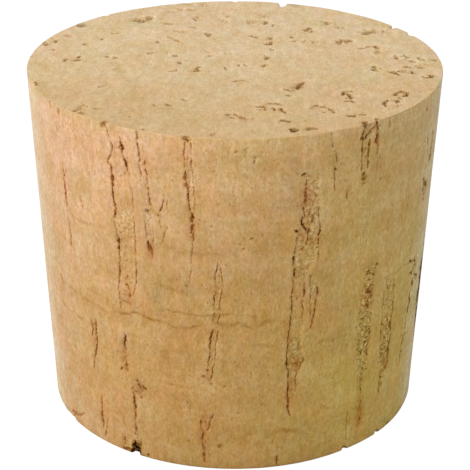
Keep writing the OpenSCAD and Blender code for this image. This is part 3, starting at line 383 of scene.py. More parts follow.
# Pores of the wide end: path, width, and how dark.
PORES = [
    ([(-9.9, 15.5), (-9.7, 14.9)], .7, .8), ([(-10.8, 14.3)], .8, .3),
    ([(-7.6, 13.2), (-7.3, 12.9)], .5, .55), ([(-4.7, 15.2), (-4.4, 14.6)], .45, .65),
    ([(-4.3, 15.7), (-4.2, 15.2)], .35, .45), ([(-1.3, 14.8)], .7, .3), ([(-.9, 15.9)], .5, .25),
    ([(-4.8, 11.9), (-4.6, 11.7)], .5, .35), ([(-6.6, 10.5), (-6, 10.3), (-5.7, 10.2)], .4, .55),
    ([(-3, 9.6), (-3, 9.1)], .4, .5), ([(-6.9, 8.1)], .6, .3), ([(-6.3, 7.3), (-6.1, 7)], .4, .5),
    ([(-8.6, 6.7)], .5, .25), ([(-6.1, 19), (-5.6, 18.9)], .6, .35),
    ([(-5.4, 18.7), (-5.1, 18.3)], .5, .5), ([(-3.5, 20.7)], .6, .3), ([(-5.6, 20.8)], .6, .3),
    ([(-7.2, 17.6)], .5, .2), ([(3.2, 16.4), (3.3, 16)], .55, .5),
    ([(3.5, 14.1), (3.5, 13.4)], .4, .65), ([(4.3, 13), (4.2, 12.6)], .4, .55),
    ([(2.1, 14)], .8, .25), ([(10.4, 14), (10.7, 13.6)], .9, .45), ([(11.7, 12.2)], .4, .3),
    ([(7.9, 11), (8.2, 11.3), (8.5, 11.9)], .45, .65), ([(8.7, 11.2), (8.8, 10.6)], .6, .25),
    ([(6.2, 9), (6.2, 8.5)], .4, .45), ([(2.4, 8.9), (2.4, 8.6)], .4, .45), ([(1.9, 9)], .4, .3),
    ([(4, 8.4), (4, 8)], .35, .4), ([(3.9, 6.8), (3.9, 6.3)], .5, .65), ([(3.5, 6.4)], .4, .45),
    ([(6.6, 7.3), (6.7, 7)], .35, .45), ([(7.5, 7.2), (7.5, 6.9)], .35, .45), ([(8.6, 7)], .5, .25),
    ([(4, 4.6), (4, 4.2)], .35, .4),
    ([(14.7, 11.1), (15.3, 10.7), (16, 10.5), (16.8, 10.4)], .8, .6), ([(14.7, 10.3)], .6, .5),
    ([(16.8, 10.9)], .4, .4), ([(11.3, 7.5), (12, 7.3), (12.9, 7.4)], .55, .75),
    ([(12.2, 7.1), (12, 6.8)], .5, .8), ([(11.5, 7), (11.4, 6.2)], .4, .45),
    ([(13.7, 4.8), (14.2, 5.1), (14.7, 5.5)], .5, .65),
    ([(14.8, 5.6), (15.3, 5.6), (15.6, 5)], .45, .6), ([(15.5, 4.6), (15.4, 3)], .6, .2),
    ([(17.2, 2.2), (17.3, 1.6)], .6, .7), ([(18, 1.2)], .4, .4), ([(18.4, 2.4), (18.5, 2)], .5, .6),
    ([(19.6, 2), (19.6, 1.6)], .4, .5), ([(18.9, .9), (19, .5)], .5, .7), ([(20, 1.1)], .35, .35),
    ([(20.3, 0), (20.3, -.4)], .4, .5), ([(14.8, -1), (14.6, -1.5)], .4, .45),
    ([(14.6, -2), (14.7, -2.5)], .45, .7), ([(15.4, -1.5), (15.5, -2)], .4, .4),
    ([(18.1, -1.1), (18.5, -1.2)], .6, .95), ([(16.4, -2.9), (16.8, -3), (17, -3.5)], .7, .95),
    ([(17.3, -2.7), (17.8, -2.6)], .6, .9), ([(18.5, -2.7), (18.6, -3)], .5, .95),
    ([(19.7, -4.3), (20.3, -4.4)], .5, .8), ([(20.4, -4)], .5, .9), ([(19.4, -1.2)], .7, .2),
    ([(21.2, 1.4), (21.4, 1)], .4, .4), ([(11.3, -8.5), (11, -9), (10.9, -10)], .35, .65),
    ([(11.5, -8.5), (11.7, -8.6)], .4, .8), ([(11.4, -9.3), (11.7, -9.8), (11.7, -10.9)], .34, .75),
    ([(11.2, -11.5), (11.4, -11.6)], .4, .65), ([(11.6, -11.3), (11.8, -11.9)], .34, .6),
    ([(11, -10.2), (11.3, -10.8)], .3, .4),
    ([(16, -9.9), (16.2, -9.4), (16.5, -9), (16.9, -8.8), (17.3, -9), (17.6, -9.5)], .34, .75),
    ([(17.5, -9.6), (17.2, -9.9), (16.9, -10.1)], .36, .75), ([(16.5, -10.4)], .4, .6),
    ([(15.3, -11.2), (15, -11.7), (14.9, -12.3), (14.9, -13)], .34, .65),
    ([(15.3, -11.2), (15.7, -11.5), (16.2, -11.5)], .4, .85),
    ([(16.3, -11.2), (16.2, -12)], .34, .8), ([(16.4, -12.4), (16.3, -12.9)], .34, .4),
    ([(7.4, -13.6), (7.6, -13.2), (8.1, -12.9), (8.6, -13)], .36, .8),
    ([(8.5, -13), (9, -13.4), (9.4, -13.5)], .36, .8),
    ([(9.4, -13.6), (9.5, -14.3), (9.7, -14.9)], .34, .65), ([(8.7, -14.6), (8.9, -14.9)], .36, .5),
    ([(9.8, -16)], .4, .25), ([(11.3, -15.7), (11.7, -15.7)], .45, .75),
    ([(12.2, -15.3), (12.8, -15.3)], .4, .6), ([(12.6, -17.6), (12.8, -17.2)], .4, .85),
    ([(13.9, -16.7)], .4, .6), ([(-.6, -15.3), (-.7, -16)], .36, .5), ([(-.4, -16.3)], .4, .4),
    ([(0, -15.4), (.1, -15.8)], .36, .65), ([(.2, -16), (.5, -16.2)], .36, .6),
    ([(.8, -16.5), (1.2, -16.6), (1.7, -16.6)], .36, .65), ([(1.1, -16.2)], .35, .4),
    ([(2.3, -13.3), (2.8, -13.2), (3.1, -13.5), (3.1, -14)], .5, .95),
    ([(3, -14.2), (2.6, -14.2), (2.4, -14)], .4, .7), ([(2.7, -13.6)], .45, .6),
    ([(3.6, -12.3), (4, -12.2)], .45, .8), ([(4.2, -12.3), (4.7, -12.6)], .45, .8),
    ([(3.9, -13.6), (4.1, -14.1), (4.6, -14.2)], .34, .75),
    ([(4.4, -13.7), (4.8, -14.4), (5, -15)], .34, .7), ([(4.4, -17), (4.8, -16.9)], .4, .65),
    ([(4.8, -16.9), (5.1, -17.3)], .38, .85), ([(5.4, -19.4), (5.8, -19.2), (6.2, -19.4)], .45, .8),
    ([(5.85, -19.5), (5.7, -19.8)], .6, 1), ([(7, -19.2), (7.05, -19.5)], .38, .7),
    ([(7.1, -19.1), (7.8, -19.2)], .34, .7), ([(5.2, -8.2), (5.5, -8.5), (6.1, -8.6)], .4, .75),
    ([(6.2, -8.2), (6.4, -7.6)], .6, .7), ([(6.4, -7.5), (6.8, -6.8), (7.2, -6.1)], .8, .8),
    ([(5.4, -9.8), (5.5, -10.1)], .4, .5), ([(-6.5, 2.1), (-6.3, 1.8)], .45, .65),
    ([(-5.85, 0), (-5.9, -.4)], .4, .65), ([(-6.5, -2.9), (-6.2, -2.8)], .5, .85),
    ([(-6, -2.4), (-6.1, -2.8)], .4, .7), ([(-4, -2.2), (-4, -2.8)], .45, .75),
    ([(-3.8, -1.8)], .34, .5), ([(-3.7, -2.8)], .34, .45), ([(.4, -.7), (.6, -1.2)], .35, .3),
    ([(1, -.7), (1.2, -1.2)], .35, .3), ([(-1, -1.5), (-1, -2.2)], .3, .4),
    ([(3.4, 1.8), (3.4, 1.3)], .5, .75), ([(3.1, -.8), (3.1, -1.3)], .36, .45),
    ([(3.5, -.5), (3.5, -.9)], .36, .45), ([(0, -6), (.3, -5.5), (1, -5.7)], .34, .35),
    ([(-3, 3.5), (-2.7, 3.3)], .4, .3), ([(-2.7, 2)], .4, .3),
    ([(-18.1, .8), (-18.1, .3)], .45, .5), ([(-16.9, .5), (-16.6, .7)], .45, .8),
    ([(-16.7, 1.2), (-16.7, 1.9)], .4, .6), ([(-13.8, 1.5), (-13.4, 1.7)], .5, .6),
    ([(-13.1, 1.7), (-12.7, 1.3)], .5, .55), ([(-12.4, -2.2)], .4, .3),
    ([(-13.7, -7.9), (-13.5, -7.5)], .4, .6), ([(-20.4, -6.6), (-20.3, -7.4)], .4, .6),
    ([(-15.3, -13.3), (-14.9, -13.1), (-14.6, -13.4)], .4, .3),
    ([(-15.2, -13.5), (-15.3, -14.4), (-15.9, -14.8)], .36, .25), ([(-14.9, -15.3)], .5, .3),
    ([(-13.9, -14.1), (-13.1, -14)], .5, .3), ([(-8, -12.7), (-7.8, -13.2)], .36, .45),
    ([(-6.8, -12.8), (-6.5, -13)], .36, .45), ([(-5.2, -11.2), (-4.8, -11.6)], .34, .3),
    ([(-17.4, 12.5), (-17.2, 12.2)], .6, .3), ([(-13.2, 9.7)], .6, .25),
    ([(-18.4, 8.8), (-18.3, 8.3)], .45, .4), ([(-19.7, 6.9), (-19.6, 6.5)], .45, .75),
    ([(-20.9, 6), (-20.8, 5.6)], .45, .7), ([(-16.3, 5.8)], .5, .3),
    ([(-14.7, 7.7), (-14.6, 7.3)], .34, .4), ([(-19.7, 3.9), (-19.5, 3.5)], .45, .45),
    ([(-9, 3)], .5, .25), ([(-12.6, -17.5), (-12.4, -17.8)], .34, .6), ([(-8.8, -19.6)], .4, .4),
    ([(-4.7, -21.2), (-4.4, -21.4)], .34, .6), ([(-2, -20.8)], .5, .25),
]

# Lost crumbs of an edge: angle, width round the edge, and depth.
WIDE_CHIPS = [(165.2, 1.2, .9), (125, 1.1, .6), (117, 1.8, .28), (-160.8, .9, .12), (-179.9, .7, .25),
              (-137.7, .9, .2), (-11.5, .6, .12), (34.8, .7, .2)]
SMALL_CHIPS = [(-150, 1.2, .4), (-97, 1.2, .4), (50.6, 1.1, .3), (36.4, 1.2, .28),
               (160, 1.4, .5), (-63, 3.0, .12), (102, 1.2, .3)]
NOTCH = (-30.5, 1.7, 2.0, 0.8)  # angle, width, height, depth

# Angles between which the side is marked most, and gets the closest columns of points.
FINE_STRETCHES = [(-36, -17), (-14, 0), (13.5, 25), (25, 28.5), (33, 45), (46.5, 55), (60, 77),
                  (-54.5, -50.5), (-47, -41.5)]


# ---- Shapes -----------------------------------------------------------------------------------

LATTICE = np.random.default_rng(5).random((LATTICE_CELLS,) * 3).astype(np.float32)


def rumple(points, pitch, turn=0.0):
    """Smooth noise from 0 to 1: random values on a cubic lattice of this pitch in mm, which may
    differ by axis, blended with eased weights between the eight corners round each point."""
    at = points / pitch + 17.13 * turn + 100.0
    cell = np.floor(at).astype(np.int64)
    ease = (at - cell).astype(np.float32)
    ease = ease * ease * (3 - 2 * ease)
    total = np.zeros(len(points), np.float32)
    for corner in range(8):
        step = np.array([corner & 1, corner >> 1 & 1, corner >> 2 & 1])
        weight = np.prod(np.where(step, ease, 1 - ease), axis=1)
        i, j, k = ((cell + step) % LATTICE_CELLS).T
        total += weight * LATTICE[i, j, k]
    return total


def smooth(x, low=0.0, high=1.0):
    """Rises from 0 at low to 1 at high along an eased curve."""
    t = np.clip((x - low) / (high - low), 0, 1)
    return t * t * (3 - 2 * t)


def near(path, u, v):
    """Distance from each point (u, v) to a path of straight pieces, and the share of the path
    that is passed at its nearest spot, from 0 to 1."""
    spots = np.asarray(path, float)
    if len(spots) == 1:
        return np.hypot(u - spots[0, 0], v - spots[0, 1]), np.full(len(u), 0.5)
    steps = np.diff(spots, axis=0)
    long = np.hypot(*steps.T)
    passed = np.concatenate([[0], np.cumsum(long)])
    best = np.full(len(u), np.inf)
    share = np.zeros(len(u))
    for (u0, v0), (du, dv), length, before in zip(spots, steps, long, passed):
        t = np.clip(((u - u0) * du + (v - v0) * dv) / length ** 2, 0, 1)
        far = np.hypot(u - u0 - t * du, v - v0 - t * dv)
        closer = far < best
        best = np.where(closer, far, best)
        share = np.where(closer, (before + t * length) / passed[-1], share)
    return best, share


def side_radius(height):
    """Radius of the tapered side at a height, on a straight line between the two ends."""
    return SMALL_R + (WIDE_R - SMALL_R) * height / HEIGHT


class Skin:
    """What the surface holds at each point: how deep it has sunk, in mm; how much it shows of the dark of a crack or
    of the painted shade in the notch, of the painted highlight, a pale rim, beside a crack, of crumbs, of rust, of
    grey and of the growth lines, and whether it belongs to an end face, each from 0 to 1;
    and how much paler or darker the cork is there, which is its own tone except at one streak of the wide end,
    which is painted shade."""

    def __init__(self, count):
        for name in ("deep", "dark", "crack_edge_highlight", "crumb", "rust", "grey", "band", "end", "pale"):
            setattr(self, name, np.zeros(count))

    def keep_most(self, name, where, amount):
        layer = getattr(self, name)
        layer[where] = np.maximum(layer[where], amount)


def cut(skin, u, v, bead, path, width, depth, dark, halo=0.35, soft=1.3):
    """Sinks a crack into the skin: a rounded V across its width, which tapers to both ends, the
    less the shorter it is, and swells and narrows with the bead noise. It darkens its floor and
    leaves a brown halo beside it, and a painted highlight: a pale rim along its edge."""
    spots = np.asarray(path, float)
    blunt = 0.12 + 0.4 * width / max(np.hypot(*np.diff(spots, axis=0).T).sum(), 0.05)
    reach = width * 1.6 + 0.3
    low, high = spots.min(0) - reach, spots.max(0) + reach
    where = np.flatnonzero((u > low[0]) & (u < high[0]) & (v > low[1]) & (v < high[1]))
    if not len(where):
        return
    far, share = near(path, u[where], v[where])
    taper = 1.5 if len(spots) == 1 else smooth(np.minimum(share, 1 - share), -blunt, 0.25)
    half = width * 0.25 * taper * (0.25 + 1.5 * bead[where])
    across = far / np.maximum(half, 1e-3)
    skin.keep_most("deep", where, depth * 0.6 * np.clip(1 - across ** 2, 0, 1) * (0.6 + 0.8 * bead[where]))
    skin.keep_most("dark", where, dark * smooth(1 + 0.4 * soft - across, 0, soft))
    skin.keep_most("dark", where, 0.3 * dark * smooth(1 - (far - half) / 0.3))
    skin.keep_most("rust", where, halo * dark * smooth(1 - (far - half) / 0.3, 0, 1))
    # painted highlight: a pale rim just outside the crack
    skin.keep_most("crack_edge_highlight", where, min(dark, 1) * smooth(far - half, 0.02, 0.12) * smooth(half + 0.4 - far, 0, 0.25))


def wrapped(angle):
    """An angle in degrees brought to between -180 and 180."""
    return (angle + 180) % 360 - 180


def round_the_side(spots):
    """Spots of the side as mm round the mean circumference and mm up."""
    return [(math.radians(a) * MEAN_R, h) for a, h in spots]


def add_patches(skin, u, v, patches):
    """Makes the cork paler or darker over each smudge, most at its middle; one patch of the wide end is painted
    shade instead.
    """
    for at_u, at_v, half_u, half_v, paler in patches:
        away = np.hypot((u - at_u) / half_u, (v - at_v) / half_v)
        skin.pale += paler * smooth(1.5 - away, 0, 1.2)


def side_marks(skin, here, angle, height, skin_point):
    """All marks of the side. The floor of a lenticel lies between its two borders, which are
    heights against angles, and is rumpled into crumbs; cracks and stains lie over it."""
    wave = rumple(skin_point, 0.9, 1) - 0.5
    ripple = rumple(skin_point, 0.28, 2) - 0.5
    tear = rumple(skin_point, 0.15, 17) - 0.5
    u = np.radians(angle) * MEAN_R + 0.24 * wave + 0.16 * ripple + 0.1 * tear
    v = height + 0.3 * (rumple(skin_point, 0.8, 3) - 0.5) + 0.12 * tear
    swell = 0.6 * rumple(skin_point, (0.9, 0.9, 0.5), 4) + 0.4 * rumple(skin_point, (0.4, 0.4, 0.22), 18)
    bead = np.clip(swell * 1.7 - 0.35, 0, 1)
    crumbs = 0.6 * rumple(skin_point, 0.34, 5) + 0.4 * rumple(skin_point, 0.17, 6)
    part = Skin(len(u))

    def floor(left, right, depth, crumbly):
        left, right = np.array(round_the_side(left))[::-1], np.array(round_the_side(right))[::-1]
        where = np.flatnonzero((v > left[0, 1] - 1) & (v < left[-1, 1] + 1)
                               & (u > left[:, 0].min() - 1) & (u < right[:, 0].max() + 1))
        a = u[where] - np.interp(v[where], left[:, 1], left[:, 0])
        b = np.interp(v[where], right[:, 1], right[:, 0]) - u[where]
        ends = smooth(v[where], left[0, 1] - 0.5, left[0, 1] + 0.3)
        if left[-1, 1] < HEIGHT - 0.5:
            ends = ends * (1 - smooth(v[where], left[-1, 1] - 0.3, left[-1, 1] + 0.5))
        inside = smooth(np.minimum(a, b), -0.15, 0.35) * ends
        loose = crumbly if isinstance(crumbly, float) else np.interp(v[where], *np.array(crumbly).T)
        part.keep_most("deep", where, inside * depth * (0.2 + loose * 0.35 * crumbs[where]))
        part.keep_most("crumb", where, inside * loose)

    for lenticel in LENTICELS:
        floor(*lenticel)
    for path, width, depth, dark in CRACKS:
        wider = 1 + max(abs(path[0][0]) - 30, 0) / 48
        halo = 0.35 if path[0][0] < 28 else 0.1
        cut(part, u, v, bead, round_the_side(path), width * wider, depth, dark, halo)
    for layer, spots in (("rust", RUST), ("grey", GREY)):
        for a, h, half_u, half_v, strength in spots:
            away = np.hypot((u - math.radians(a) * MEAN_R) / half_u, (v - h) / half_v)
            where = np.flatnonzero(away < 1.6)
            part.keep_most(layer, where, strength * smooth(1.6 - away[where], 0, 1.3))
    drift = v + 0.9 * (rumple(skin_point, (3, 3, 9), 21) - 0.5) + 0.25 * (rumple(skin_point, 0.7, 20) - 0.5)
    climb = RING_CLIMB / 2 * np.sin(np.radians(angle))
    share_of_gap = (drift - climb - RING_FIRST) / RING_GAP
    part.pale += RING_PALER * np.cos(2 * math.pi * share_of_gap)
    add_patches(part, u, v, [(math.radians(a) * MEAN_R, *rest) for a, *rest in SIDE_PATCHES])
    for path, width, strength in BANDS:
        spots = np.array(round_the_side(path))
        low, high = spots.min(0) - 1, spots.max(0) + 1
        where = np.flatnonzero((u > low[0]) & (u < high[0]) & (v > low[1]) & (v < high[1]))
        far, share = near(spots, u[where], v[where] + 0.35 * (rumple(skin_point[where], 2.6, 16) - 0.5)
                          + 0.25 * (rumple(skin_point[where], 0.7, 20) - 0.5))
        fading = smooth(np.minimum(share, 1 - share), -0.02, 0.12)
        part.keep_most("band", where, strength * fading * smooth(1.3 - far / (width * 0.4), 0, 1.2))
    far_side(part, u, v, bead, floor)
    notch(part, angle, height, 0.5 * ripple)
    part.deep += 0.02 * part.band + 0.012 * part.rust + 0.008 * part.grey
    for name in vars(skin):
        getattr(skin, name)[here] = getattr(part, name)


def far_side(part, u, v, bead, floor):
    """The side away from the front: each lenticel has a crumbly floor, a cracked border on both
    sides in three broken lengths, and a few pits; thin marks lie scattered between them."""
    chance = np.random.default_rng(21)
    for width, spots in FAR_LENTICELS:
        middle = [(a, h * HEIGHT) for a, h in spots]
        half = math.degrees(width / 2 / MEAN_R)
        floor([(a - half * 0.8, h) for a, h in middle], [(a + half * 0.8, h) for a, h in middle], .2, .8)
        heights = np.array([h for _, h in middle])[::-1]
        angles = np.array([a for a, _ in middle])[::-1]
        for side in (-1, 1):
            for piece in range(4):
                top, long = chance.uniform(0.1, 1), chance.uniform(0.12, 0.3)
                h = heights[0] + (heights[-1] - heights[0]) * np.clip([top, top - long / 2, top - long], 0, 1)
                a = np.interp(h, heights, angles) + side * half + chance.normal(0, 0.25, 3)
                cut(part, u, v, bead, round_the_side(list(zip(a, h))),
                    chance.uniform(.26, .42), .5, chance.uniform(.55, 1))
        for pit in range(5):
            h = chance.uniform(heights[0], heights[-1])
            a = np.interp(h, heights, angles) + chance.uniform(-half, half)
            cut(part, u, v, bead, round_the_side([(a, h)]), chance.uniform(.3, .5), .35, chance.uniform(.5, .9))
    for mark in range(70):
        a, h = chance.uniform(80, 285), chance.uniform(5, 34)
        long = chance.choice([0.0, 0.4, 0.8, 2.2, 4.0])
        lean = chance.normal(0, 0.05)
        path = [(wrapped(a), h)] if long == 0 else [(wrapped(a), h), (wrapped(a + lean * long * 3), h - long)]
        if abs(path[0][0] - path[-1][0]) < 90 and path[-1][1] > 0:
            cut(part, u, v, bead, round_the_side(path), chance.uniform(.2, .36), .25, chance.uniform(.3, .7))


def notch(part, angle, height, wander):
    """The black notch where a lenticel leaves the small end: pointed at its top, deepest below. Its black is partly
    the lenticel's own dark and partly painted shade in the hollow.
    """
    middle, width, tall, depth = NOTCH
    off = np.abs(np.radians(angle - middle) * SMALL_R + wander) / (width / 2)
    rise = np.clip(height / tall, 0, 1)
    below = 1 - smooth(height, tall * 0.9, tall * 1.05)
    inside = smooth(1 - rise ** 0.8 - off, 0.0, 0.35) * below
    part.deep = np.maximum(part.deep, depth * inside * (0.45 + 0.55 * smooth(height, 0.1, 0.8)))
    # painted shade: the hollow and a rim round it painted near black
    part.dark = np.maximum(part.dark, 1.9 * smooth(1.28 - rise ** 0.8 - off, 0, 0.4) * below)


def end_marks(skin, here, x, y, skin_point, pores, patches):
    """Pores of an end face, each a short curl with an uneven edge, and its smudges, which are grey where they are
    darkest;
    one patch of the wide end, at its back edge, is painted shade."""
    tear = rumple(skin_point, 0.2, 19) - 0.5
    u = x + 0.3 * (rumple(skin_point, 0.6, 7) - 0.5) + 0.2 * tear
    v = y + 0.3 * (rumple(skin_point, 0.6, 8) - 0.5) + 0.2 * tear
    bead = np.clip(rumple(skin_point, 0.4, 9) * 1.5 - 0.2, 0, 1)
    part = Skin(len(u))
    for path, width, dark in pores:
        grown = (0.2 + width * 1.5) * (1 + 0.05 * min(max(path[0][1], 0), 15))
        black = (0.25 + 0.85 * dark) * (1 - 0.012 * max(path[0][1], 0))
        cut(part, u, v, bead, path, grown, 0.06 + 0.8 * width * dark, black, 0.06, 1.5)
    add_patches(part, x, y, patches)
    part.grey = smooth(-part.pale, 0.12, 0.4)
    for name in vars(skin):
        getattr(skin, name)[here] = getattr(part, name)


def small_end_pores():
    """Pores of the small end: dots, slits and curls scattered at random, thicker to one side."""
    chance = np.random.default_rng(8)
    made = []
    for _ in range(95):
        r, turn = 19.4 * math.sqrt(chance.random()), chance.uniform(0, 2 * math.pi)
        x, y = r * math.cos(turn), r * math.sin(turn)
        if chance.random() > 0.45 + 0.3 * (x - y) / 19:
            continue
        kind, start = chance.random(), chance.uniform(0, 2 * math.pi)
        if kind < 0.4:
            path = [(x, y), (x + 0.3 * math.cos(start), y + 0.3 * math.sin(start))]
        elif kind < 0.65:
            path = [(x, y), (x + 1.0 * math.cos(start), y + 1.0 * math.sin(start))]
        else:
            bend = np.linspace(start, start + chance.uniform(1.5, 4), 5)
            radius = chance.uniform(.45, .85)
            path = [(x + radius * math.cos(b), y + radius * math.sin(b)) for b in bend]
        made.append((path, chance.uniform(.32, .5), chance.uniform(.4, .9)))
    return made


def edge_loss(angle, chips, roughness):
    """How much an edge has lost at each angle: the named chips, each a bite with a steep and a
    slow side, and a fine unevenness all round."""
    loss = roughness
    for at, width, depth in chips:
        off = np.clip(np.radians(wrapped(angle - at)) * MEAN_R / (width / 2), -1.3, 1.3)
        loss = np.maximum(loss, depth * smooth(1 - np.abs(off + 0.2 * (1 - off ** 2)), 0, 0.7))
    return loss


def half_section():
    """Radius and height down the half section from the pole of the wide end to the pole of the
    small end, with the direction that faces out. Both edges are rounded by quarter circles."""
    wide_in = side_radius(HEIGHT) - EDGE_R
    small_in = side_radius(0) - LOW_EDGE_R
    bend = np.radians(np.linspace(90, 0, 7))[1:-1]
    wide_end = wide_in * (1 - np.linspace(1, 0, 190)[1:] ** 1.15)
    side = np.linspace(HEIGHT - EDGE_R, LOW_EDGE_R, 360)
    small_end = small_in * (1 - np.linspace(0, 1, 110)[:-1] ** 1.15)
    still, full = np.zeros, np.ones
    radius = np.concatenate([wide_end, wide_in + EDGE_R * np.cos(bend), side_radius(side),
                             small_in + LOW_EDGE_R * np.cos(bend)[::-1], small_end])
    height = np.concatenate([full(len(wide_end)) * HEIGHT, HEIGHT - EDGE_R + EDGE_R * np.sin(bend), side,
                             LOW_EDGE_R - LOW_EDGE_R * np.sin(bend)[::-1], still(len(small_end))])
    out_r = np.concatenate([still(len(wide_end)), np.cos(bend), full(len(side)),
                            np.cos(bend)[::-1], still(len(small_end))])
    out_z = np.concatenate([full(len(wide_end)), np.sin(bend), still(len(side)),
                            -np.sin(bend)[::-1], -full(len(small_end))])
    return radius, height, out_r, out_z


def columns():
    """Angles round the axis in degrees: close together at the lenticels in front, wider between
    them, widest behind. They are even steps of the summed-up closeness."""
    fine = np.linspace(-180, 180, 7201)
    close = np.where(np.abs(fine) < 90, 2.2, 1.6)
    for left, right in FINE_STRETCHES:
        close[(fine > left) & (fine < right)] = 4.4
    passed = np.concatenate([[0], np.cumsum(close[:-1])])
    return np.interp(np.linspace(0, passed[-1], 1201)[:-1], passed, fine)


def marks_at(points):
    """The skin at each point of the stopper. A point belongs to the end face or to the side, by
    which of them it lies nearest to, and is first moved straight out onto that face."""
    x, y, z = points.T
    r = np.hypot(x, y)
    angle = np.degrees(np.arctan2(x, -y))
    to_side = side_radius(np.clip(z, 0, HEIGHT)) - r
    wide = HEIGHT - z < to_side
    small = (z < to_side) & ~wide
    side = ~(wide | small)
    skin = Skin(len(points))
    full = side_radius(np.clip(z, 0, HEIGHT))
    on_side = np.stack([full * np.sin(np.radians(angle)), -full * np.cos(np.radians(angle)), z], 1)
    on_wide = np.stack([x, y, np.full(len(x), HEIGHT)], 1)
    on_small = np.stack([x, y, np.zeros(len(x))], 1)
    side_marks(skin, side, angle[side], z[side], on_side[side])
    end_marks(skin, wide, x[wide], y[wide], on_wide[wide], PORES, WIDE_PATCHES)
    end_marks(skin, small, x[small], y[small], on_small[small], small_end_pores(), [])
    skin.end[wide | small] = 1
    # a crack of the side that reaches an edge also lowers the end face beside it
    for face, level, chance in ((wide, HEIGHT - 0.4, 1), (small, 0.4, 2)):
        rim = np.flatnonzero(face & (to_side < 1.4))
        level_r = side_radius(level)
        a = np.radians(angle[rim])
        at = np.stack([level_r * np.sin(a), -level_r * np.cos(a), np.full(len(rim), level)], 1)
        edge = Skin(len(rim))
        side_marks(edge, np.arange(len(rim)), angle[rim], at[:, 2], at)
        gone = edge.deep * 1.4 - to_side[rim]
        skin.keep_most("deep", rim, np.clip(2.5 * gone, 0, edge.deep))
        skin.keep_most("dark", rim, edge.dark * smooth(gone, -0.15, 0.1))
        skin.keep_most("crumb", rim, edge.crumb * smooth(gone, -0.1, 0.1))
    return skin, angle


def stopper_surface():
    """The whole closed surface as one grid: the half section's rows against the columns round the
    axis, each point sunk along its inward direction by the marks, by a slight waviness of the cut
    and, near the edges, by lost crumbs. Each pole is one point that closes its fan."""
    radius, height, out_r, out_z = half_section()
    angle = np.radians(columns())
    rows, cols = len(radius), len(angle)
    r, a = np.meshgrid(radius, angle, indexing="ij")
    z = np.repeat(height, cols).reshape(rows, cols)
    points = np.stack([r * np.sin(a), -r * np.cos(a), z], -1).reshape(-1, 3)
    skin, degrees = marks_at(points)
    wavy = (0.06 * rumple(points, (7, 7, 9), 10) + 0.03 * rumple(points, (2.2, 2.2, 5), 11)
            + 0.012 * rumple(points, (0.9, 0.9, 1.6), 12))
    sunk = wavy + skin.deep
    inward_r = np.repeat(out_r, cols)
    inward_z = np.repeat(out_z, cols)
    flat_r = np.hypot(points[:, 0], points[:, 1])
    direction = np.stack([points[:, 0] / np.maximum(flat_r, 1e-6) * inward_r,
                          points[:, 1] / np.maximum(flat_r, 1e-6) * inward_r, inward_z], 1)
    moved = points - direction * sunk[:, None]
    spread = side_radius(points[:, 2]) - flat_r
    for level, chips, sign, grainy in ((HEIGHT, WIDE_CHIPS, 1, 0.1), (0.0, SMALL_CHIPS, -1, 0.03)):
        from_edge = np.maximum(np.abs(points[:, 2] - level), spread)
        nearby = np.flatnonzero(from_edge < 1.6)
        grain = 0.02 + grainy * rumple(points[nearby], 0.7, 14) * rumple(points[nearby], 3.1, 15)
        loss = edge_loss(degrees[nearby], chips, grain)
        share = np.clip(1 - from_edge[nearby] / np.maximum(loss * 1.7, 0.12), 0, 1)
        away = loss * share * 0.75
        flat = points[nearby, :2] / np.maximum(flat_r[nearby], 1e-6)[:, None]
        moved[nearby, :2] -= flat * away[:, None]
        moved[nearby, 2] -= sign * away
    poles = np.array([[0, 0, HEIGHT - 0.06], [0, 0, 0.06]])
    index = np.arange(rows * cols).reshape(rows, cols)
    beside = np.roll(index, -1, axis=1)
    quads = np.stack([index[:-1], index[1:], beside[1:], beside[:-1]], -1).reshape(-1, 4)
    top = np.stack([np.full(cols, rows * cols), index[0], beside[0]], -1)
    low = np.stack([np.full(cols, rows * cols + 1), beside[-1], index[-1]], -1)
    return np.concatenate([moved, poles]), quads, np.concatenate([top, low])


# ---- Pieces -----------------------------------------------------------------------------------

def new_mesh(name, points, quads, triangles):
    """A mesh from points in mm and from whole arrays of four-sided and three-sided faces."""
    mesh = bpy.data.meshes.new(name)
    mesh.vertices.add(len(points))
    mesh.vertices.foreach_set("co", (points * MM).astype(np.float32).ravel())
    corners = np.concatenate([quads.ravel(), triangles.ravel()])
    starts = np.concatenate([np.arange(len(quads)) * 4, len(quads) * 4 + np.arange(len(triangles)) * 3])
    mesh.loops.add(len(corners))
    mesh.loops.foreach_set("vertex_index", corners.astype(np.int32))
    mesh.polygons.add(len(starts))
    mesh.polygons.foreach_set("loop_start", starts.astype(np.int32))
    mesh.update(calc_edges=True)
    mesh.validate()
    return mesh


def add_piece(name, mesh):
    piece = bpy.data.objects.new(name, mesh)
    bpy.context.scene.collection.objects.link(piece)
    return piece


def thinned(piece, triangles):
    """The piece's mesh with its flat stretches thinned out, down to this many triangles."""
    now = sum(len(p.vertices) - 2 for p in piece.data.polygons)
    thin = piece.modifiers.new("thin", "DECIMATE")
    thin.ratio = triangles / now
    thin.use_collapse_triangulate = True
    bpy.context.view_layer.update()
    seen = piece.evaluated_get(bpy.context.evaluated_depsgraph_get())
    mesh = bpy.data.meshes.new_from_object(seen)
    piece.modifiers.clear()
    return mesh


def vertex_points(mesh):
    points = np.empty(len(mesh.vertices) * 3, np.float32)
    mesh.vertices.foreach_get("co", points)
    return points.reshape(-1, 3).astype(float) / MM


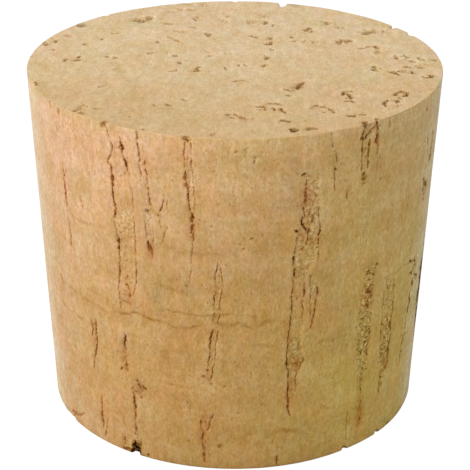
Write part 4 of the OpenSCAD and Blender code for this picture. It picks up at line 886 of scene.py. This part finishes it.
def lay_map(mesh):
    """The flat map of the piece: the side unrolled into three strips side by side, and under them
    the two end faces seen square on."""
    points = vertex_points(mesh)
    corner = np.empty(len(mesh.loops), np.int32)
    mesh.loops.foreach_get("vertex_index", corner)
    three = points[corner].reshape(-1, 3, 3)
    middle = three.mean(1)
    to_side = side_radius(np.clip(middle[:, 2], 0, HEIGHT)) - np.hypot(middle[:, 0], middle[:, 1])
    wide = HEIGHT - middle[:, 2] < to_side
    small = (middle[:, 2] < to_side) & ~wide
    angle = np.degrees(np.arctan2(middle[:, 0], -middle[:, 1]))
    strip = np.clip(((angle + 180) // 120).astype(int), 0, 2)
    centre = strip * 120 - 120.0
    turn = np.degrees(np.arctan2(three[..., 0], -three[..., 1])) - centre[:, None]
    turn = wrapped(turn)
    # in mm, on a sheet whose side is 146 mm
    u = np.radians(turn) * MEAN_R + strip[:, None] * 48.2 + 25.2
    v = three[..., 2] + 52.0
    ends = (wide | small)[:, None]
    u = np.where(ends, three[..., 0] + np.where(wide, 24.5, 72.0)[:, None], u)
    v = np.where(ends, three[..., 1] * np.where(small, -1, 1)[:, None] + 25.0, v)
    layer = mesh.uv_layers.new(name="OFBake")
    layer.data.foreach_set("uv", (np.stack([u, v], -1) / 147.0).astype(np.float32).ravel())


def make_stopper():
    piece = add_piece("cork_body", new_mesh("cork_body", *stopper_surface()))
    rough_mesh = piece.data
    piece.data = thinned(piece, TRIANGLES)
    bpy.data.meshes.remove(rough_mesh)
    piece.data.name = "cork_body"
    mesh = piece.data
    skin, _ = marks_at(vertex_points(mesh))
    for name in ("dark", "crack_edge_highlight", "crumb", "rust", "grey", "band", "end", "pale"):
        layer = mesh.attributes.new(name, "FLOAT", "POINT")
        layer.data.foreach_set("value", getattr(skin, name).astype(np.float32))
    lay_map(mesh)
    mesh.shade_smooth()
    mesh.materials.append(natural_cork())
    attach(piece, "root")
    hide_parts("cork_stopper")
    return piece


# ---- Finishes ---------------------------------------------------------------------------------

def tone(red, green, blue):
    """A colour from 0 to 255 a channel, as Blender's linear values."""
    linear = [((c / 255 + 0.055) / 1.055) ** 2.4 if c > 10 else c / 255 / 12.92 for c in (red, green, blue)]
    return (*linear, 1.0)


class Value:
    """A number's socket. An operator on it adds the Math node that works it out."""

    def __init__(self, shade, socket):
        self.shade, self.socket = shade, socket

    def _math(self, operation, first, second=None, third=None):
        settings = {"operation": operation}
        inputs = {n: v for n, v in enumerate((first, second, third)) if v is not None}
        return self.shade.node("ShaderNodeMath", settings, inputs).value(0)

    def __add__(self, other):
        return self._math("ADD", self, other)

    def __sub__(self, other):
        return self._math("SUBTRACT", self, other)

    def __rsub__(self, other):
        return self._math("SUBTRACT", other, self)

    def __mul__(self, other):
        return self._math("MULTIPLY", self, other)

    def __truediv__(self, other):
        return self._math("DIVIDE", self, other)

    def __pow__(self, other):
        return self._math("POWER", self, other)

    __radd__ = __add__
    __rmul__ = __mul__

    def sized(self):
        return self._math("ABSOLUTE", self)

    def most(self, other):
        return self._math("MAXIMUM", self, other)

    def between(self, low, high):
        """0 below low, 1 above high, eased between."""
        made = self.shade.node("ShaderNodeMapRange", {"interpolation_type": "SMOOTHSTEP"},
                               {"Value": self, "From Min": low, "From Max": high})
        return made.value("Result")


class Node:
    def __init__(self, shade, node):
        self.shade, self.node = shade, node

    def value(self, name):
        return Value(self.shade, self.node.outputs[name])

    def socket(self, name):
        return self.node.outputs[name]


class Shade:
    """The node tree of a material or of the world."""

    def __init__(self, owner):
        self.owner = owner
        owner.use_nodes = True
        self.tree = owner.node_tree
        self.tree.nodes.clear()

    def node(self, kind, settings=None, inputs=None):
        """One node: its settings first, then the values or links of its sockets."""
        made = self.tree.nodes.new(kind)
        for name, value in (settings or {}).items():
            setattr(made, name, value)
        for name, value in (inputs or {}).items():
            value = value.socket if isinstance(value, Value) else value
            if isinstance(value, bpy.types.NodeSocket):
                self.tree.links.new(value, made.inputs[name])
            else:
                made.inputs[name].default_value = value
        return Node(self, made)

    def stretched(self, place, scale):
        return self.node("ShaderNodeVectorMath", {"operation": "MULTIPLY"}, {0: place, 1: scale}).socket(0)

    def moved(self, place, by, amount):
        """A place shifted by a colour noise times an amount."""
        centred = self.node("ShaderNodeVectorMath", {"operation": "SUBTRACT"}, {0: by, 1: (0.5, 0.5, 0.5)}).socket(0)
        scaled = self.node("ShaderNodeVectorMath", {"operation": "SCALE"}, {0: centred, "Scale": amount}).socket(0)
        return self.node("ShaderNodeVectorMath", {"operation": "ADD"}, {0: place, 1: scaled}).socket(0)

    def noise(self, place, scale, detail=2.0, rough=0.5):
        """Noise from 0 to 1 at a place in mm; scale is spots a mm."""
        return self.node("ShaderNodeTexNoise", {}, {"Vector": place, "Scale": scale, "Detail": detail,
                                                    "Roughness": rough}).value(0)

    def hues(self, place, scale, detail, rough):
        """Noise in three channels that go their own ways."""
        return self.node("ShaderNodeTexNoise", {}, {"Vector": place, "Scale": scale, "Detail": detail,
                                                    "Roughness": rough}).socket(1)

    def three(self, place, scale, detail, rough):
        """Three noises from 0 to 1 that have nothing to do with each other."""
        parts = self.node("ShaderNodeSeparateColor", {}, {0: self.hues(place, scale, detail, rough)})
        return parts.value(0), parts.value(1), parts.value(2)

    def clouded(self, colour, noise, strength):
        """A colour made stronger or weaker, channel by channel, where a noise is off its middle."""
        lift = self.node("ShaderNodeVectorMath", {"operation": "MULTIPLY_ADD"},
                         {0: noise, 1: strength, 2: [1 - part / 2 for part in strength]}).socket(0)
        return self.node("ShaderNodeVectorMath", {"operation": "MULTIPLY"}, {0: colour, 1: lift}).socket(0)

    def lightened(self, colour, light, on_side):
        """A colour times a lightness that acts least on red and most on blue, so that what is
        darker is also browner, as in cork, on the ground side more than on the cut ends."""
        parts = self.node("ShaderNodeCombineColor", {}, {0: light ** (0.77 - on_side * 0.09), 1: light,
                                                         2: light ** (1.45 + on_side * 0.2)}).socket(0)
        return self.mix(1.0, colour, parts, "MULTIPLY")

    def mix(self, factor, first, second, blend="MIX"):
        made = self.node("ShaderNodeMix", {"data_type": "RGBA", "blend_type": blend, "clamp_factor": True},
                         {0: factor, 6: first, 7: second})
        return made.socket(2)

    def attribute(self, name):
        return self.node("ShaderNodeAttribute", {"attribute_name": name}).value("Fac")


def natural_cork():
    """Ground natural cork: warm tan, clouded pink and olive, with fine upright streaks, faint wavy
    growth lines across them, dark fine flecks, and marks whose floors are brown to black."""
    s = Shade(bpy.data.materials.new("natural_cork"))
    place = s.stretched(s.node("ShaderNodeTexCoord").socket("Object"), (1000, 1000, 1000))
    split = s.node("ShaderNodeSeparateXYZ", {}, {0: place})
    x, y, z = split.value("X"), split.value("Y"), split.value("Z")

    # the grain of the cut ends is drawn out from front to back
    on_side = 1 - s.attribute("end")
    drawn = s.node("ShaderNodeCombineXYZ", {}, {0: 1.0, 1: 0.42 + on_side * 0.58, 2: 1.0}).socket(0)
    grain = s.stretched(place, drawn)

    cloud = s.noise(place, 0.09, 3, 0.5)
    upright = s.stretched(grain, (1.0, 1.0, 0.3))
    blush, olive, pale = s.three(s.stretched(grain, (1, 1, 0.45)), 0.6, 1, 0.5)
    warm, cool, _ = s.three(place, 0.22, 1, 0.5)
    grit, fleck, cream = s.three(s.stretched(grain, (1, 1, 0.5)), 4.2, 3, 0.8)
    mottle = s.noise(grain, 1.3, 4, 0.75)
    streak = s.noise(upright, 1.6, 3, 0.7)

    # pink cream above left, olive right, ochre in the middle, and darker and more ochre below: partly the cork's own
    # tint, partly painted shade, as the olive right and the darker foot stand in for the side turned from the lamp
    # and for light that falls from above; the ends are paler
    turn = (x / 22.0 + (cloud - 0.5) * 0.6).between(-0.9, 0.9)
    low = (1 - z / 38.0 + (cloud - 0.5) * 0.5).between(0.0, 0.8)
    high_side = s.mix(turn, tone(233, 189, 147), tone(224, 191, 125))
    low_side = s.mix(turn, tone(216, 175, 125), tone(217, 187, 105))
    middle = (1 - ((x + 2.5 + (cloud - 0.5) * 8) / 15.0).sized()).between(0, 0.75) * (1 - z.between(20, 38))
    side = s.mix(middle * 0.6, s.mix(low, high_side, low_side), tone(200, 157, 96))
    # painted shade: darker and browner over the lowest 9 mm of the side, away from the left and right flanks
    side = s.mix((1 - z.between(0, 9)) * (1 - (x / 20).sized().between(0.4, 1)) * 0.2, side, tone(172, 130, 74))
    # painted light: both flanks, left and right, made paler and bluer
    flank = (x.sized() / 22).between(0.55, 0.9)
    side = s.mix(flank, side, s.mix(turn, (0.98, 1.02, 1.11, 1), (1.0, 1.02, 1.2, 1)), "MULTIPLY")
    # painted sheen: the side made paler toward its left and right outlines, and somewhat paler toward the back
    edge = (x.sized() / (20.2 + z * 0.048)).between(0.86, 1.0)
    edge = edge * 0.9 + (1 - edge) * (y / 22).between(-0.1, 0.5) * 0.45
    side = s.mix(edge, side, s.mix(turn, tone(240, 222, 194), tone(232, 220, 184)))
    end = s.mix((y / 22.0 + (cloud - 0.5)).between(-1, 0.5), tone(216, 186, 141), tone(227, 202, 163))
    corner = (x * -1 / 22).between(0.3, 0.75) * (y * -1 / 22).between(0.1, 0.5)
    end = s.mix(corner, end, s.mix(1.0, end, (0.98, 0.94, 0.9, 1), "MULTIPLY"))
    # the side's top strip, within about a mm of the wide edge, takes the end's colour, most on the left
    rim_blend = (z + (mottle - 0.5) * 1.6).between(36.9, 38.1) * (0.75 - (x / 22).between(-0.9, 0) * 0.5)
    skin = s.mix(on_side * (1 - rim_blend), end, side)

    # soft clouds of red brown, of yellow and of cream, tall ones and wider ones, then finer ones
    full = 0.8 + on_side * 0.2
    skin = s.mix(blush.between(0.42, 0.62) * full, skin, (1.0, 0.95, 0.9, 1), "MULTIPLY")
    skin = s.mix(olive.between(0.46, 0.66) * full, skin, (0.97, 0.97, 0.89, 1), "MULTIPLY")
    skin = s.mix(pale.between(0.46, 0.66) * full, skin, (1.04, 1.03, 1.04, 1), "MULTIPLY")
    skin = s.mix(warm.between(0.4, 0.6) * full, skin, (1.0, 0.95, 0.92, 1), "MULTIPLY")
    skin = s.mix(cool.between(0.45, 0.65) * full, skin, (0.96, 0.98, 0.92, 1), "MULTIPLY")
    coloured = s.clouded(skin, s.hues(s.stretched(grain, (1, 1, 0.6)), 1.3, 2, 0.6), (0.18, 0.06, 0.5))
    skin = s.mix(0.46 + on_side * 0.54, skin, coloured)

    # growth lines across the side
    broken = s.noise(s.stretched(place, (0.5, 0.5, 1.0)), 1.1, 3, 0.6).between(0.36, 0.62)
    dark, crumb = s.attribute("dark"), s.attribute("crumb")
    rust, grey = s.attribute("rust"), s.attribute("grey")
    bits, _, hole = s.three(s.stretched(place, (1, 0.55, 1)), 2.5, 3, 0.7)
    skin = s.mix(grey * (bits * 3 - 0.9), skin, (0.56, 0.66, 0.8, 1), "MULTIPLY")
    skin = s.mix(rust * (bits * 3.4 - 0.9), skin, (0.84, 0.58, 0.46, 1), "MULTIPLY")

    # lightness: grain at three sizes, dark and light flecks
    speck = s.noise(s.stretched(grain, (1, 1, 0.7)), 2.0, 3, 0.75).between(0.64, 0.74)
    calm = 0.64 + on_side * 0.36
    light = (1 + (mottle - 0.5) * calm * 0.64) * (0.78 + streak * 0.44) * (1 + (grit - 0.5) * calm * 1.04)
    light = light * (1 - fleck.between(0.63, 0.71) * 0.7 - speck * 0.5 + cream.between(0.62, 0.74) * calm * 0.2)
    light = light * (1 - s.attribute("band") * (0.35 + broken * 0.65) * 0.5) * (1 + s.attribute("pale"))
    # crumbs: swollen pale ones with brown seams round them, and a few holes
    torn = s.moved(s.stretched(place, (1, 1, 0.8)), s.hues(place, 1.8, 3, 0.6), 0.9)
    cells = s.node("ShaderNodeTexVoronoi", {"feature": "DISTANCE_TO_EDGE"}, {"Vector": torn, "Scale": 1.8})
    inward = cells.value("Distance")
    seam = (1 - inward.between(0.02, 0.14)) * hole.between(0.42, 0.56)
    swollen = inward.between(0.1, 0.3)
    loose = (crumb + (bits - 0.5) * 1.2).between(0.2, 0.8)
    loose = loose * (1 + (x / 22).between(0.45, 0.7))
    light = light * (1 + loose * (bits.between(0.4, 0.6) * swollen * 0.32 - 0.03))
    light = light * (1 - seam * loose * 0.36) * (1 - hole.between(0.6, 0.7) * loose * 0.4)
    # painted highlight: a pale rim beside each crack
    light = light * (1 + s.attribute("crack_edge_highlight") * bits.between(0.4, 0.6) * 0.22)
    # cracks, which break up into fragments
    broken_up = s.noise(s.stretched(grain, (1, 0.6, 0.65)), 3.8, 3, 0.8)
    ink = dark * (broken_up * (4 + on_side * 3) - (1.1 + on_side * 1.5))
    light = light * (1 - ink.between(0.05, 0.6) * 0.5) * (1 - ink.between(0.45, 1.0) * 0.48)
    # painted shade: the lowest 0.4 mm of the side darkened, standing in for the shadow where it meets the floor
    painted_contact_shade = (1 - z.between(0.0, 0.4)) * on_side
    skin = s.lightened(skin, light * (1 - painted_contact_shade * 0.35), on_side)
    # near black where the dark is strongest: the darkest cracks, and the painted shade of the notch and of the mark
    # on the right outline
    skin = s.mix(ink.between(1.0, 1.5) * 0.85, skin, tone(42, 30, 13))

    # relief of the grain
    relief = grit * 0.9 + mottle * 0.9 + streak * 0.3 + (swollen - seam) * loose * 0.4
    bump = s.node("ShaderNodeBump", {}, {"Strength": 0.5, "Distance": 0.00008, "Height": relief})
    body = s.node("ShaderNodeBsdfPrincipled", {}, {
        "Base Color": skin, "Roughness": 0.86 + grit * 0.1, "Normal": bump.socket("Normal"),
        "Specular IOR Level": 0.0, "Sheen Weight": 0.1, "Sheen Roughness": 0.35})
    s.node("ShaderNodeOutputMaterial", {}, {"Surface": body.socket("BSDF")})
    return s.owner


def pale_floor():
    """A white floor that keeps the shadow: mostly its own white where the camera sees it."""
    s = Shade(bpy.data.materials.new("pale_floor"))
    plain = s.node("ShaderNodeBsdfDiffuse", {}, {"Color": (0.5, 0.5, 0.49, 1)})
    white = s.node("ShaderNodeEmission", {}, {"Color": (1, 1, 1, 1), "Strength": 1.2})
    seen = s.node("ShaderNodeLightPath").value("Is Camera Ray")
    both = s.node("ShaderNodeMixShader", {}, {0: seen * 0.82, 1: plain.socket(0), 2: white.socket(0)})
    s.node("ShaderNodeOutputMaterial", {}, {"Surface": both.socket(0)})
    return s.owner


# ---- Floor, light and camera ------------------------------------------------------------------

def make_floor():
    mesh = bpy.data.meshes.new("floor")
    mesh.from_pydata([(-3, -3, -5e-5), (3, -3, -5e-5), (3, 3, -5e-5), (-3, 3, -5e-5)], [], [(0, 1, 2, 3)])
    mesh.materials.append(pale_floor())
    floor = add_piece("floor", mesh)


def soft_light(name, place, size, power, colour):
    """A square soft lamp at a place in metres that faces the stopper's middle."""
    lamp = bpy.data.lights.new(name, "AREA")
    lamp.size, lamp.energy, lamp.color = size, power, colour
    held = bpy.data.objects.new(name, lamp)
    held.location = place
    held.rotation_euler = (Vector(MIDDLE) - Vector(place)).to_track_quat("-Z", "Y").to_euler()
    bpy.context.scene.collection.objects.link(held)


def make_world():
    """Even grey-white light all round, and plain white where the camera sees it directly."""
    world = bpy.data.worlds.new("studio")
    bpy.context.scene.world = world
    s = Shade(world)
    ambient = s.node("ShaderNodeBackground", {}, {0: (0.97, 0.98, 1.0, 1), 1: 0.5})
    white = s.node("ShaderNodeBackground", {}, {0: (1, 1, 1, 1)})
    ray = s.node("ShaderNodeLightPath")
    plain = ray.value("Is Camera Ray").most(ray.value("Is Glossy Ray"))
    mix = s.node("ShaderNodeMixShader", {}, {0: plain, 1: ambient.socket(0), 2: white.socket(0)})
    s.node("ShaderNodeOutputWorld", {}, {0: mix.socket(0)})


def make_camera():
    """The camera stands in front, looks down at the middle of the stopper, and is a little rolled."""
    lens = bpy.data.cameras.new("camera")
    lens.sensor_width, lens.lens = 36, 130.0
    lens.shift_x, lens.shift_y = 0.0020, -0.0220
    lens.clip_start, lens.clip_end = 0.01, 20
    camera = bpy.data.objects.new("camera", lens)
    rise = math.radians(CAMERA_RISE)
    camera.location = (0, -CAMERA_FAR * math.cos(rise), MIDDLE[2] + CAMERA_FAR * math.sin(rise))
    camera.rotation_mode = "ZYX"
    camera.rotation_euler = (math.radians(90) - rise, 0, math.radians(CAMERA_ROLL))
    bpy.context.scene.collection.objects.link(camera)
    bpy.context.scene.camera = camera


make_stopper()
make_floor()
make_world()
soft_light("key", (-0.42, -0.30, 0.46), 0.36, 3.15, (1.0, 0.985, 0.965))
soft_light("fill", (0.63, -0.20, 0.25), 0.5, 0.62, (1.0, 0.97, 0.9))
make_camera()

view = bpy.context.scene.view_settings
view.view_transform = "Standard"
